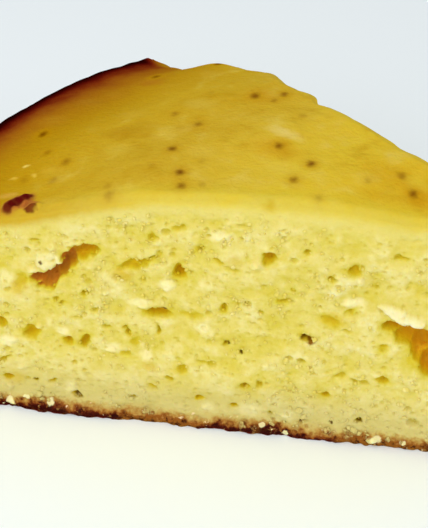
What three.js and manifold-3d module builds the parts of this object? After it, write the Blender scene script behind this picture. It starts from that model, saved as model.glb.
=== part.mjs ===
// A wedge of plain yogurt cake, cut from a round cake that was baked in a shallow pan.
// Units are millimetres and degrees. +Z is up and the slice stands on Z = 0.
// The near cut face looks along -Y, the crusted rim is at -X and the tip of the wedge at +X.
// A point of the slice is first given by its distance from the tip, its angle round the
// tip away from the near cut, and its height. That is how the cake was baked and cut.

import * as THREE from "three";
import { mergeVertices } from "three/addons/utils/BufferGeometryUtils.js";
import Module from "manifold-3d";

const wasm = await Module();
wasm.setup();

// The whole cake and the cut
const PAN_RADIUS = 115.5;
const WALL_DRAFT = 2.5; // the pan is this much narrower at its floor
const SLICE_ANGLE = 47;
const RIM_HEIGHT = 36.2; // where the dome meets the wall of the pan
const CROWN_HEIGHT = 52.8;
const DOME_POWER = 3.3;
const SHOULDER_WIDTH = 5; // the browned rim turns down over this width
const SHOULDER_DROP = 1.8;
const RIM_ROUND = 0.8; // and draws in this much at the top of the wall
const RIM_ROUND_HEIGHT = 6;
const BASE_ROUND = 5; // the rounded foot that the pan's corner leaves
const TIP_BLUNT = 1.6; // the knife leaves the tip this blunt
const SKIN_EDGE_WIDTH = 2.2; // the top skin rolls over at a cut
const SKIN_EDGE_DROP = 0.8;

// Low swells and dips of the top, each a bell along the slice. The ones that have an
// across value also die out away from the cut that they belong to.
const NEAR_TOP_BELLS = [{ along: 18, height: -1.9, reach: 10, across: 14 }];
const FAR_TOP_BELLS = [
  { along: 104.5, height: -3.3, reach: 6.9, across: 12 },
  { along: 95.6, height: -2.3, reach: 4.5, across: 8 },
];
const RING_BELLS = [
  { along: 61, height: 0.75, reach: 21 },
  { along: 89, height: -0.9, reach: 12 },
];
const WAVE_HEIGHT = 0.3;
const WAVE_LENGTH = 33;
const WAVE_START = 0.8;

// Unevenness of the cut faces: the knife drags the crumb into low waves.
// Each wave has its height, its length and the angle that it runs at.
const DRAG_WAVES = [
  { height: 0.24, length: 41, turn: 12 },
  { height: 0.18, length: 23, turn: 71 },
  { height: 0.14, length: 13, turn: -38 },
];
const FAR_DRAG_SHIFT = 57; // the far cut has other waves than the near one
const CUT_FALLOFF = 6; // how far inside the slice the waves of a cut die out
const FOOT_BAND = 4; // the foot of each cut face stays straight

// The torn skin of the far cut: distance from the tip, width and depth of each nick.
// A negative depth is a fold that stands out.
const SKIN_NICKS = [
  { along: 110.9, width: 4.8, depth: 1.4 },
  { along: 99.7, width: 14.3, depth: 1.6 },
  { along: 85.1, width: 10.5, depth: -0.8 },
  { along: 73.8, width: 7.5, depth: -2.0 },
  { along: 64.8, width: 6.0, depth: 1.05 },
  { along: 61.2, width: 3.0, depth: 0.45 },
  { along: 54.3, width: 3.4, depth: 1.4 },
  { along: 51.6, width: 5.6, depth: 0.45 },
  { along: 32.1, width: 5.3, depth: 0.6 },
];
const NICK_HEIGHT = 9; // a nick fades out this far below the skin

// Open hollows of the near cut face: distance from the tip, height, size and tilt.
// A positive tilt rises towards the tip.
const NEAR_HOLLOWS = [
  { along: 84.4, up: 31.4, width: 6.4, height: 3.3, depth: 3.6, tilt: 15 },
  { along: 82.0, up: 33.3, width: 5.2, height: 3.1, depth: 3.6, tilt: 42 },
  { along: 79.9, up: 36.0, width: 4.8, height: 2.8, depth: 3.0, tilt: 58 },
  { along: 77.0, up: 38.1, width: 6.6, height: 2.2, depth: 1.8, tilt: 15 },
  { along: 67.4, up: 36.5, width: 7.8, height: 2.3, depth: 1.8, tilt: 22 },
  { along: 59.3, up: 35.8, width: 2.7, height: 3.0, depth: 2.2, tilt: 0 },
  { along: 63.4, up: 26.4, width: 4.4, height: 2.3, depth: 1.9, tilt: 8 },
  { along: 87.3, up: 19.2, width: 3.7, height: 3.5, depth: 2.0, tilt: 0 },
  { along: 80.1, up: 17.6, width: 2.5, height: 2.5, depth: 1.4, tilt: 0 },
  { along: 76.9, up: 17.6, width: 1.9, height: 3.3, depth: 1.6, tilt: -12 },
  { along: 44.0, up: 40.8, width: 2.4, height: 3.3, depth: 2.0, tilt: 0 },
  { along: 28.5, up: 39.7, width: 3.1, height: 2.3, depth: 1.6, tilt: 8 },
  { along: 31.6, up: 28.0, width: 4.2, height: 2.9, depth: 1.2, tilt: -15 },
  { along: 36.0, up: 24.4, width: 2.5, height: 1.3, depth: 2.0, tilt: -30 },
  { along: 20.2, up: 28.2, width: 6.2, height: 2.9, depth: 2.7, tilt: -22 },
  { along: 17.4, up: 27.0, width: 5.4, height: 5.0, depth: 3.6, tilt: -30 },
  { along: 14.6, up: 24.6, width: 5.6, height: 8.4, depth: 4.4, tilt: 0 },
  { along: 13.8, up: 20.8, width: 3.6, height: 5.2, depth: 3.2, tilt: 0 },
  { along: 21.3, up: 15.9, width: 2.9, height: 1.6, depth: 1.4, tilt: -10 },
  { along: 31.6, up: 10.8, width: 3.0, height: 1.4, depth: 1.1, tilt: -8 },
  { along: 51.3, up: 28.5, width: 2.7, height: 2.2, depth: 1.3, tilt: 0 },
  { along: 76.8, up: 29.3, width: 2.3, height: 1.5, depth: 1.2, tilt: 18 },
  { along: 91.9, up: 7.4, width: 2.3, height: 1.8, depth: 1.4, tilt: 0 },
  { along: 83.3, up: 7.2, width: 2.2, height: 1.4, depth: 1.2, tilt: 30 },
  { along: 78.6, up: 4.4, width: 2.0, height: 1.5, depth: 1.4, tilt: 0 },
  { along: 58.6, up: 13.5, width: 2.3, height: 1.9, depth: 1.0, tilt: 0 },
  { along: 55.0, up: 7.3, width: 2.1, height: 1.7, depth: 1.1, tilt: 0 },
  { along: 48.3, up: 6.2, width: 2.1, height: 1.6, depth: 1.2, tilt: 0 },
  { along: 46.9, up: 11.7, width: 2.1, height: 1.7, depth: 1.2, tilt: 10 },
  { along: 92.9, up: 21.0, width: 2.4, height: 2.6, depth: 1.6, tilt: 0 },
  { along: 99.2, up: 24.4, width: 3.0, height: 2.2, depth: 1.6, tilt: 10 },
  { along: 104.6, up: 16.4, width: 2.4, height: 2.9, depth: 1.5, tilt: 0 },
  { along: 107.4, up: 27.2, width: 2.7, height: 1.8, depth: 1.3, tilt: -12 },
  { along: 98.0, up: 34.6, width: 2.4, height: 1.5, depth: 1.2, tilt: 15 },
  { along: 8.4, up: 13.8, width: 2.4, height: 1.6, depth: 1.2, tilt: -10 },
  { along: 6.8, up: 36.4, width: 2.2, height: 1.7, depth: 1.2, tilt: 0 },
];

// Tongues of crumb that stand proud over the two largest hollows of the near cut face
const NEAR_TONGUES = [
  { along: 83.5, up: 35.3, width: 4.8, height: 3.8, depth: 1.4, tilt: 14 },
  { along: 19.0, up: 31.0, width: 9.0, height: 2.5, depth: 1.7, tilt: -14 },
];
const TONGUE_INSET = 0.5; // the middle of a tongue lies this far behind the cut

// Two blisters of burnt sugar in the skin: distance from the tip, angle, size and turn
const BLISTERS = [
  { along: 89.7, angle: 2.5, length: 6.4, width: 4.6, height: 1.3, turn: 48 },
  { along: 86.0, angle: 1.1, length: 2.8, width: 2.4, height: 1.1, turn: 10 },
];

// Hollows scattered by rule over the far cut face
const FAR_SCATTER = 26;
const SCATTER_WIDTH = [1.9, 4.6];
const SCATTER_FLATNESS = [0.5, 0.95]; // a hollow's height as a share of its width
const SCATTER_DEPTH = [0.35, 0.6]; // its depth as a share of its width
const SCATTER_TILT = [-25, 25];
const SCATTER_MARGIN = 3.5; // kept clear of the skin, the base and the rim
const SCATTER_GAP = 1.2; // kept between two hollows
const SCATTER_SEED = 4711;
const LEHMER_FACTOR = 48271; // the two numbers of the random rule
const LEHMER_PRIME = 2147483647;

// How finely the faces are divided
const RADIAL_STEPS = 30;
const ANGLE_STEPS = 10;
const HEIGHT_STEPS = 12;
const RADIAL_BUNCH = 0.45; // from 0, even steps, to 1, steps packed at both ends
const ANGLE_BUNCH = 0.7;
const HEIGHT_BUNCH = 0.55;
const WALL_GRIP = 6; // how fast the wall's lean dies out towards the tip
const LARGE_HOLLOW = 5; // a hollow wider than this gets the finer ball
const FINE_BALL = 2; // how often the faces of a ball are split
const COARSE_BALL = 1;
const MERGE_TOLERANCE = 1e-4;

const SLICE = THREE.MathUtils.degToRad(SLICE_ANGLE);

// The faces turn to a soft golden crumb; the real looks vary over the slice.
const crumb = new THREE.MeshStandardMaterial({
  color: 0xe6d66e,
  roughness: 0.85,
  metalness: 0,
});

// 0 below the first edge, 1 above the second, with a soft step between
const softStep = (low, high, value) => THREE.MathUtils.smoothstep(value, low, high);

const bell = (offset, reach) => Math.exp(-((offset / reach) ** 2));

// Spreads even steps so that they lie closer together at both ends
function bunched(share, strength) {
  return share - (strength * Math.sin(2 * Math.PI * share)) / (2 * Math.PI);
}

// Sum of bells at a distance from the tip, each weakened by the distance from its cut
function bellSum(bells, along, fromCut) {
  let sum = 0;
  for (const { along: place, height, reach, across } of bells)
    sum += height * bell(along - place, reach) * (across ? bell(fromCut, across) : 1);
  return sum;
}

// Height of the top skin over a point of the plan
function skinHeight(along, angle) {
  const out = Math.min(along / PAN_RADIUS, 1);
  const dome = (CROWN_HEIGHT - RIM_HEIGHT) * (1 - out ** DOME_POWER);
  const shoulder = SHOULDER_DROP * Math.max(1 - (PAN_RADIUS - along) / SHOULDER_WIDTH, 0) ** 2;
  const fromNearCut = along * Math.sin(angle);
  const fromFarCut = along * Math.sin(SLICE - angle);
  const swells =
    bellSum(NEAR_TOP_BELLS, along, fromNearCut) +
    bellSum(FAR_TOP_BELLS, along, fromFarCut) +
    bellSum(RING_BELLS, along, 0);
  const wave =
    WAVE_HEIGHT *
    Math.sin((2 * Math.PI * along) / WAVE_LENGTH + WAVE_START) *
    Math.sin((2 * Math.PI * fromNearCut) / WAVE_LENGTH);
  const roll =
    SKIN_EDGE_DROP *
    (2 - softStep(0, SKIN_EDGE_WIDTH, fromNearCut) - softStep(0, SKIN_EDGE_WIDTH, fromFarCut));
  return RIM_HEIGHT + dome - shoulder + swells + wave - roll;
}

// Radius of the baked wall at a height, with the rounded foot and the turned rim
function wallRadius(height) {
  const lean = WALL_DRAFT * (1 - Math.min(height / RIM_HEIGHT, 1));
  const below = Math.max(BASE_ROUND - height, 0);
  const foot = BASE_ROUND - Math.sqrt(BASE_ROUND ** 2 - below ** 2);
  const rim = RIM_ROUND * softStep(RIM_HEIGHT - RIM_ROUND_HEIGHT, RIM_HEIGHT, height) ** 2;
  return PAN_RADIUS - lean - foot - rim;
}

// How far a cut face stands proud of its plane
function dragWave(along, height) {
  let sum = 0;
  for (const wave of DRAG_WAVES) {
    const turn = THREE.MathUtils.degToRad(wave.turn);
    const way = along * Math.cos(turn) + height * Math.sin(turn);
    sum += wave.height * Math.sin((2 * Math.PI * way) / wave.length);
  }
  return sum;
}

function nickDepth(along, height, skin) {
  const fade = softStep(skin - NICK_HEIGHT, skin, height);
  let depth = 0;
  for (const nick of SKIN_NICKS)
    depth += nick.depth * bell(along - nick.along, nick.width / 2);
  return depth * fade;
}

// A point given as the cake was baked and cut, in the part's own axes with the tip at 0
function placed(along, angle, height, skin) {
  const point = new THREE.Vector3(-along * Math.cos(angle), along * Math.sin(angle), height);
  const nearShare = 1 - softStep(0, CUT_FALLOFF, along * angle);
  const farShare = 1 - softStep(0, CUT_FALLOFF, along * (SLICE - angle));
  const settle = softStep(0, FOOT_BAND, height);
  const nearOut = nearShare * settle * dragWave(along, height);
  const farWave = settle * dragWave(along + FAR_DRAG_SHIFT, height);
  const farOut = farShare * (farWave - nickDepth(along, height, skin));
  point.y -= nearOut;
  point.x += farOut * Math.sin(SLICE);
  point.y += farOut * Math.cos(SLICE);
  return point;
}

// The slice without its hollows: a divided box, bent into the wedge
function wedgeGeometry() {
  const share = (value, steps) => Math.round(value * steps) / steps;
  const box = new THREE.BoxGeometry(1, 1, 1, RADIAL_STEPS, ANGLE_STEPS, HEIGHT_STEPS);
  const position = box.getAttribute("position");
  for (let i = 0; i < position.count; i++) {
    const out = bunched(share(position.getX(i) + 0.5, RADIAL_STEPS), RADIAL_BUNCH);
    // The angle runs the other way round, which keeps the faces pointing outwards.
    const turn = bunched(share(0.5 - position.getY(i), ANGLE_STEPS), ANGLE_BUNCH);
    const rise = bunched(share(position.getZ(i) + 0.5, HEIGHT_STEPS), HEIGHT_BUNCH);
    const angle = turn * SLICE;
    const reach = TIP_BLUNT + out * (PAN_RADIUS - TIP_BLUNT);
    const skin = skinHeight(reach, angle);
    const height = rise * skin;
    const along = reach - out ** WALL_GRIP * (PAN_RADIUS - wallRadius(rise * RIM_HEIGHT));
    const point = placed(along, angle, height, skin);
    position.setXYZ(i, point.x, point.y, point.z);
  }
  return box;
}

// A closed geometry as a solid that can be joined and cut
function solidOf(geometry) {
  const bare = new THREE.BufferGeometry();
  bare.setAttribute("position", geometry.getAttribute("position"));
  if (geometry.index) bare.setIndex(geometry.index);
  const merged = mergeVertices(bare, MERGE_TOLERANCE);
  return new wasm.Manifold(
    new wasm.Mesh({
      numProp: 3,
      vertProperties: new Float32Array(merged.getAttribute("position").array),
      triVerts: new Uint32Array(merged.index.array),
    }),
  );
}

// A ball squeezed to a size, turned and moved by a matrix
function ballSolid(size, matrix, detail) {
  const ball = new THREE.IcosahedronGeometry(0.5, detail);
  ball.scale(size.x, size.y, size.z);
  ball.applyMatrix4(matrix);
  return solidOf(ball);
}

// The frame of a cut face at a point: X towards the tip, Y into the slice and Z up
function faceFrame(isFar, along, up, tilt, inward) {
  const angle = isFar ? SLICE : 0;
  const toTip = new THREE.Vector3(Math.cos(angle), -Math.sin(angle), 0);
  const intoSlice = new THREE.Vector3(Math.sin(angle), Math.cos(angle), 0);
  if (isFar) intoSlice.negate();
  const origin = toTip.clone().multiplyScalar(-along).addScaledVector(intoSlice, inward);
  origin.z = up;
  const frame = new THREE.Matrix4().makeBasis(toTip, intoSlice, new THREE.Vector3(0, 0, 1));
  if (isFar) frame.makeBasis(toTip.negate(), intoSlice, new THREE.Vector3(0, 0, 1));
  frame.setPosition(origin);
  return frame.multiply(new THREE.Matrix4().makeRotationY(THREE.MathUtils.degToRad(-tilt)));
}

// A bubble that the knife opened: half of it lies behind the cut
function hollowSolid(hollow, isFar) {
  const size = new THREE.Vector3(hollow.width, 2 * hollow.depth, hollow.height);
  const frame = faceFrame(isFar, hollow.along, hollow.up, hollow.tilt, 0);
  return ballSolid(size, frame, hollow.width > LARGE_HOLLOW ? FINE_BALL : COARSE_BALL);
}

function tongueSolid(tongue) {
  const size = new THREE.Vector3(tongue.width, 2 * tongue.depth, tongue.height);
  const frame = faceFrame(false, tongue.along, tongue.up, tongue.tilt, TONGUE_INSET);
  return ballSolid(size, frame, FINE_BALL);
}

function blisterSolid(blister) {
  const angle = THREE.MathUtils.degToRad(blister.angle);
  const skin = skinHeight(blister.along, angle);
  const frame = new THREE.Matrix4().makeRotationZ(THREE.MathUtils.degToRad(blister.turn));
  frame.setPosition(-blister.along * Math.cos(angle), blister.along * Math.sin(angle), skin);
  const size = new THREE.Vector3(blister.length, blister.width, blister.height);
  return ballSolid(size, frame, FINE_BALL);
}

// A small repeatable random source, from 0 to 1, after Lehmer's rule
function seededRandom(seed) {
  let state = seed;
  return () => {
    state = (state * LEHMER_FACTOR) % LEHMER_PRIME;
    return state / LEHMER_PRIME;
  };
}

// Hollows placed by rule, clear of the edges and of each other
function scatteredHollows(count, random) {
  const within = ([low, high], share) => low + (high - low) * share;
  const found = [];
  while (found.length < count) {
    const along = within([SCATTER_MARGIN, PAN_RADIUS - 2 * SCATTER_MARGIN], random());
    const up = within([SCATTER_MARGIN, skinHeight(along, 0) - SCATTER_MARGIN], random());
    const width = within(SCATTER_WIDTH, random() ** 2);
    const clear = found.every(
      (other) => Math.hypot(other.along - along, other.up - up) > (other.width + width) / 2 + SCATTER_GAP,
    );
    if (!clear) continue;
    const height = width * within(SCATTER_FLATNESS, random());
    const depth = width * within(SCATTER_DEPTH, random());
    found.push({ along, up, width, height, depth, tilt: within(SCATTER_TILT, random()) });
  }
  return found;
}

function sliceSolid() {
  const farHollows = scatteredHollows(FAR_SCATTER, seededRandom(SCATTER_SEED));
  const bubbles = wasm.Manifold.union([
    ...NEAR_HOLLOWS.map((hollow) => hollowSolid(hollow, false)),
    ...farHollows.map((hollow) => hollowSolid(hollow, true)),
  ]);
  const raised = wasm.Manifold.union([
    ...NEAR_TONGUES.map(tongueSolid),
    ...BLISTERS.map(blisterSolid),
  ]);
  const cut = solidOf(wedgeGeometry()).subtract(bubbles).add(raised);
  return cut.decompose().sort((a, b) => b.volume() - a.volume())[0];
}

// The solid as a geometry, standing on Z = 0 with the middle of its plan at the origin
function centredGeometry(solid) {
  const mesh = solid.getMesh();
  const geometry = new THREE.BufferGeometry();
  const position = new THREE.BufferAttribute(new Float32Array(mesh.vertProperties), 3);
  geometry.setAttribute("position", position);
  geometry.setIndex(new THREE.BufferAttribute(new Uint32Array(mesh.triVerts), 1));
  geometry.computeBoundingBox();
  const middle = geometry.boundingBox.getCenter(new THREE.Vector3());
  geometry.translate(-middle.x, -middle.y, -geometry.boundingBox.min.z);
  geometry.computeVertexNormals();
  return geometry;
}

const cakeSlice = new THREE.Mesh(centredGeometry(sliceSolid()), crumb);
cakeSlice.name = "cake_slice";

const cake = new THREE.Group();
cake.add(cakeSlice);
export default cake;
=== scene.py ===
# %% [markdown]
# A slice of yogurt cake, in Blender.
#
# The slice is a wedge of a round, domed cake. It has four surfaces that look quite different: the
# open yellow crumb of the two cuts, the smooth golden skin, the dark baked rim with the wall below
# it, and the thin brown base. They are one baked thing, so they are made as one mesh, and one
# material tells them apart by how deep a point lies under the skin, behind the wall or above the
# base.
#
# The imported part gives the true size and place. Everything here is worked out in millimetres from
# the tip of the wedge, as a baker would measure it, and is moved to the frame's own origin at the
# end.

# %% Load the frame
import itertools
import math
import bpy
import numpy as np
from mathutils import Matrix, Vector


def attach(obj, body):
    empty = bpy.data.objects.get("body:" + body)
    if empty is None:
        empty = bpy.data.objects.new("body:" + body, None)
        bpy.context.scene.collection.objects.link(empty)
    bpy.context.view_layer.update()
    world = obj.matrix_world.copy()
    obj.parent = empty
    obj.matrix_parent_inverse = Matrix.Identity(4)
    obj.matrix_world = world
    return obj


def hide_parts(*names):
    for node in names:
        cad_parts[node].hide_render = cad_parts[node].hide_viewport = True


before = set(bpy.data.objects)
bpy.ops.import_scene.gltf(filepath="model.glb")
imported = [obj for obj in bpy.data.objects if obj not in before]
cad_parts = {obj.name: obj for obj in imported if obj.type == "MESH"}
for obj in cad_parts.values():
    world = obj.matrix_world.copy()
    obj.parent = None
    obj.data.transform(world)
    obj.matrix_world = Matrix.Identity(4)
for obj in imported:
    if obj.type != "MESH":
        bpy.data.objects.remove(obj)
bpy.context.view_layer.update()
cad_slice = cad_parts["cake_slice"]
MM = 0.001

# %% [markdown]
# The sizes below are the ones that the solid was made from. The tin, the dome and the cut come
# first, then the bells that lift or lower the top here and there, because no real cake is a
# perfect dome. The bells at a cut also die out across the slice, away from it.

# %% Sizes of the cake and the cut, in millimetres and degrees
PAN_RADIUS = 115.5
WALL_DRAFT = 2.5
SLICE = math.radians(47)
RIM_HEIGHT = 36.2
CROWN_HEIGHT = 52.8
DOME_POWER = 3.3
SHOULDER_WIDTH = 5
SHOULDER_DROP = 1.8
RIM_ROUND = 0.8
RIM_ROUND_HEIGHT = 6
BASE_ROUND = 5
TIP_BLUNT = 1.6
SKIN_EDGE_WIDTH = 2.2
SKIN_EDGE_DROP = 0.8
NEAR_TOP_BELLS = [(18, -1.9, 10, 14)]  # along, height, reach and reach across
FAR_TOP_BELLS = [(104.5, -3.3, 6.9, 12), (95.6, -2.3, 4.5, 8)]
RING_BELLS = [(61, 0.75, 21, math.inf), (89, -0.9, 12, math.inf)]
WAVE_HEIGHT = 0.3
WAVE_LENGTH = 33
WAVE_START = 0.8
DRAG_WAVES = [(0.24, 41, 12), (0.18, 23, 71), (0.14, 13, -38)]  # height, length and turn
FAR_DRAG_SHIFT = 57
CUT_FALLOFF = 6
FOOT_BAND = 4
NICK_HEIGHT = 9
SKIN_NICKS = [  # along, width and depth
    (110.9, 4.8, 1.4), (99.7, 14.3, 1.6), (85.1, 10.5, -0.8), (73.8, 7.5, -2.0), (64.8, 6.0, 1.05),
    (61.2, 3.0, 0.45), (54.3, 3.4, 1.4), (51.6, 5.6, 0.45), (32.1, 5.3, 0.6),
]

# %% [markdown]
# The functions that follow turn a place on the cake into a height or a radius. They take whole
# arrays, so one call shapes a hundred thousand points. Height fields like these are easier to
# steer than sculpting: every dip of the photo is one line of numbers above.

# %% Height of the skin and radius of the wall
def soft_step(low, high, value):
    """0 below low, 1 above high, and a soft step between."""
    t = np.clip((value - low) / (high - low), 0, 1)
    return t * t * (3 - 2 * t)


def bell(offset, reach):
    """1 in the middle of a bell, and nearly 0 two reaches away from it."""
    return np.exp(-((offset / reach) ** 2))


def bell_sum(bells, along, from_cut):
    """The height of several bells at a distance from the tip and from their cut."""
    return sum(
        height * bell(along - middle, reach) * bell(from_cut, across)
        for middle, height, reach, across in bells
    )


def skin_height(along, angle):
    """Height of the top skin at a distance from the tip and an angle from the near cut."""
    out = np.minimum(along / PAN_RADIUS, 1)
    dome = (CROWN_HEIGHT - RIM_HEIGHT) * (1 - out**DOME_POWER)
    shoulder = SHOULDER_DROP * np.maximum(1 - (PAN_RADIUS - along) / SHOULDER_WIDTH, 0) ** 2
    from_near = along * np.sin(angle)
    from_far = along * np.sin(SLICE - angle)
    swells = bell_sum(NEAR_TOP_BELLS, along, from_near) + bell_sum(FAR_TOP_BELLS, along, from_far)
    swells = swells + bell_sum(RING_BELLS, along, 0)
    turns = 2 * np.pi / WAVE_LENGTH
    wave = WAVE_HEIGHT * np.sin(turns * along + WAVE_START) * np.sin(turns * from_near)
    edges = 2 - soft_step(0, SKIN_EDGE_WIDTH, from_near) - soft_step(0, SKIN_EDGE_WIDTH, from_far)
    return RIM_HEIGHT + dome - shoulder + swells + wave - SKIN_EDGE_DROP * edges


def wall_radius(height):
    """Radius of the baked wall: a slight draft, a rounded foot and a rim that draws in."""
    lean = WALL_DRAFT * (1 - np.minimum(height / RIM_HEIGHT, 1))
    below = np.clip(BASE_ROUND - height, 0, BASE_ROUND)
    foot = BASE_ROUND - np.sqrt(BASE_ROUND**2 - below**2)
    rim = RIM_ROUND * soft_step(RIM_HEIGHT - RIM_ROUND_HEIGHT, RIM_HEIGHT, height) ** 2
    return PAN_RADIUS - lean - foot - rim


CROWN_AND_RIM = np.array([45.0, 112.0])  # mm from the tip
print("crown and rim of the near cut:", skin_height(CROWN_AND_RIM, 0.0).round(1))

# %% [markdown]
# Crumb is made of bubbles in a soft mass. Two small tools draw both: noise, which gives smooth
# lumps about one cell wide, and dents, which gives round hollows of many sizes at random places.
# Both use a hash of the cell's own numbers instead of a random generator, so a point always gets
# the same answer, whatever the order of the work. Each use has a salt of its own, a whole number
# that keeps it from repeating another.

# %% Noise and dents
HASH_PRIMES = np.array([73856093, 19349663, 83492791], np.uint32)
HASH_MIX, HASH_MOST, HASH_SHIFT = 0x9E3779B1, 0xFFFFFFFF, 15
WORD_BITS, KEPT_BITS = 32, 24


def hashed(cells, salt):
    """A number from 0 to 1 for each row of whole numbers."""
    keys = cells.astype(np.int64).astype(np.uint32) * HASH_PRIMES
    h = keys[:, 0] ^ keys[:, 1] ^ keys[:, 2] ^ np.uint32((salt + 1) * HASH_MIX & HASH_MOST)
    for _ in range(2):
        h = (h ^ (h >> np.uint32(HASH_SHIFT))) * np.uint32(HASH_MIX)
    return (h >> np.uint32(WORD_BITS - KEPT_BITS)) / 2**KEPT_BITS


def noise(points, cell, salt=0):
    """Smooth lumps from -1 to 1, about one cell wide."""
    scaled = points / cell
    base = np.floor(scaled)
    f = scaled - base
    f = f * f * (3 - 2 * f)
    total = np.zeros(len(points))
    for corner in itertools.product((0, 1), repeat=3):
        weight = np.prod(np.where(corner, f, 1 - f), axis=1)
        total += weight * hashed(base + corner, salt)
    return 2 * total - 1


def lumps_of(points, lumps, salt, salt_step=1):
    """Noise of several sizes. A lump is a cell and a height, both in mm."""
    return sum(
        size * noise(points, cell, salt + k * salt_step) for k, (cell, size) in enumerate(lumps)
    )


def dents(points, cell, share, sizes, salt=0):
    """Depth of round dents in mm. A share of the cells holds one. Sizes are radii in cells."""
    base = np.floor(points / cell)
    deepest = np.zeros(len(points))
    for step in itertools.product((-1, 0, 1), repeat=3):
        home = base + step
        jitter = np.stack([hashed(home, salt + k) for k in range(3)], axis=1)
        radius = cell * (sizes[0] + (sizes[1] - sizes[0]) * hashed(home, salt + 3) ** 2)
        away = np.linalg.norm(points - (home + jitter) * cell, axis=1)
        depth = radius * np.sqrt(np.clip(1 - (away / radius) ** 2, 0, 1))
        deepest = np.maximum(deepest, np.where(hashed(home, salt + 4) < share, depth, 0))
    return deepest


# %% [markdown]
# The bubbles that the knife opened are placed one by one on the near cut, as in the photo: distance
# from the tip, height, width, height of the hollow, depth and tilt. The first list is the solid's
# own. The second holds bubbles too small for the solid, and soft smears where the knife pressed a
# bubble shut. Two tongues of crumb hang over the two largest hollows, and small lobes of crumb
# stand proud here and there.

# %% Named hollows and tongues of the near cut
NEAR_HOLLOWS = [  # along, up, width, height, depth and tilt, in all four lists
    (84.6, 31.4, 6.4, 2.9, 3.4, 12), (83.6, 31.1, 3.8, 3.6, 3.4, 30),
    (82.0, 33.3, 5.2, 3.1, 3.6, 42), (79.9, 36.0, 4.8, 2.8, 3.0, 58),
    (77.2, 37.9, 7.2, 2.9, 2.6, 15), (67.4, 36.5, 7.8, 2.3, 1.8, 22),
    (59.3, 35.8, 2.7, 3.0, 2.2, 0), (63.2, 26.2, 4.8, 2.6, 1.8, 8), (87.3, 19.2, 3.7, 3.5, 2.0, 0),
    (80.1, 17.6, 2.5, 2.5, 1.4, 0), (76.9, 17.6, 1.9, 3.3, 1.6, -12),
    (44.0, 40.8, 2.4, 3.3, 2.0, 0), (28.5, 39.7, 3.1, 2.3, 1.6, 8),
    (31.6, 28.0, 4.2, 2.9, 0.9, -15), (36.0, 24.4, 2.5, 1.3, 2.0, -30),
    (20.2, 28.2, 6.2, 2.9, 2.7, -22), (17.4, 27.0, 5.4, 5.0, 3.6, -30),
    (14.6, 24.6, 5.6, 8.4, 4.4, 0), (13.8, 20.8, 3.6, 5.2, 3.2, 0),
    (21.3, 15.9, 2.9, 1.6, 1.4, -10), (31.6, 10.8, 3.0, 1.4, 1.1, -8),
    (51.3, 28.5, 2.7, 2.2, 1.3, 0), (76.8, 29.3, 2.3, 1.5, 1.2, 18), (91.9, 7.4, 2.3, 1.8, 1.4, 0),
    (83.3, 7.2, 2.2, 1.4, 1.2, 30), (78.6, 4.4, 2.0, 1.5, 1.4, 0), (58.6, 13.5, 2.3, 1.9, 1.0, 0),
    (55.0, 7.3, 2.1, 1.7, 1.1, 0), (48.3, 6.2, 2.1, 1.6, 1.2, 0), (46.9, 11.7, 2.1, 1.7, 1.2, 10),
    (92.9, 21.0, 2.4, 2.6, 1.6, 0), (99.2, 24.4, 3.0, 2.2, 1.6, 10),
    (104.6, 16.4, 2.4, 2.9, 1.5, 0), (107.4, 27.2, 2.7, 1.8, 1.3, -12),
    (98.0, 34.6, 2.4, 1.5, 1.2, 15), (8.4, 13.8, 2.4, 1.6, 1.2, -10), (6.8, 36.4, 2.2, 1.7, 1.2, 0),
]
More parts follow.
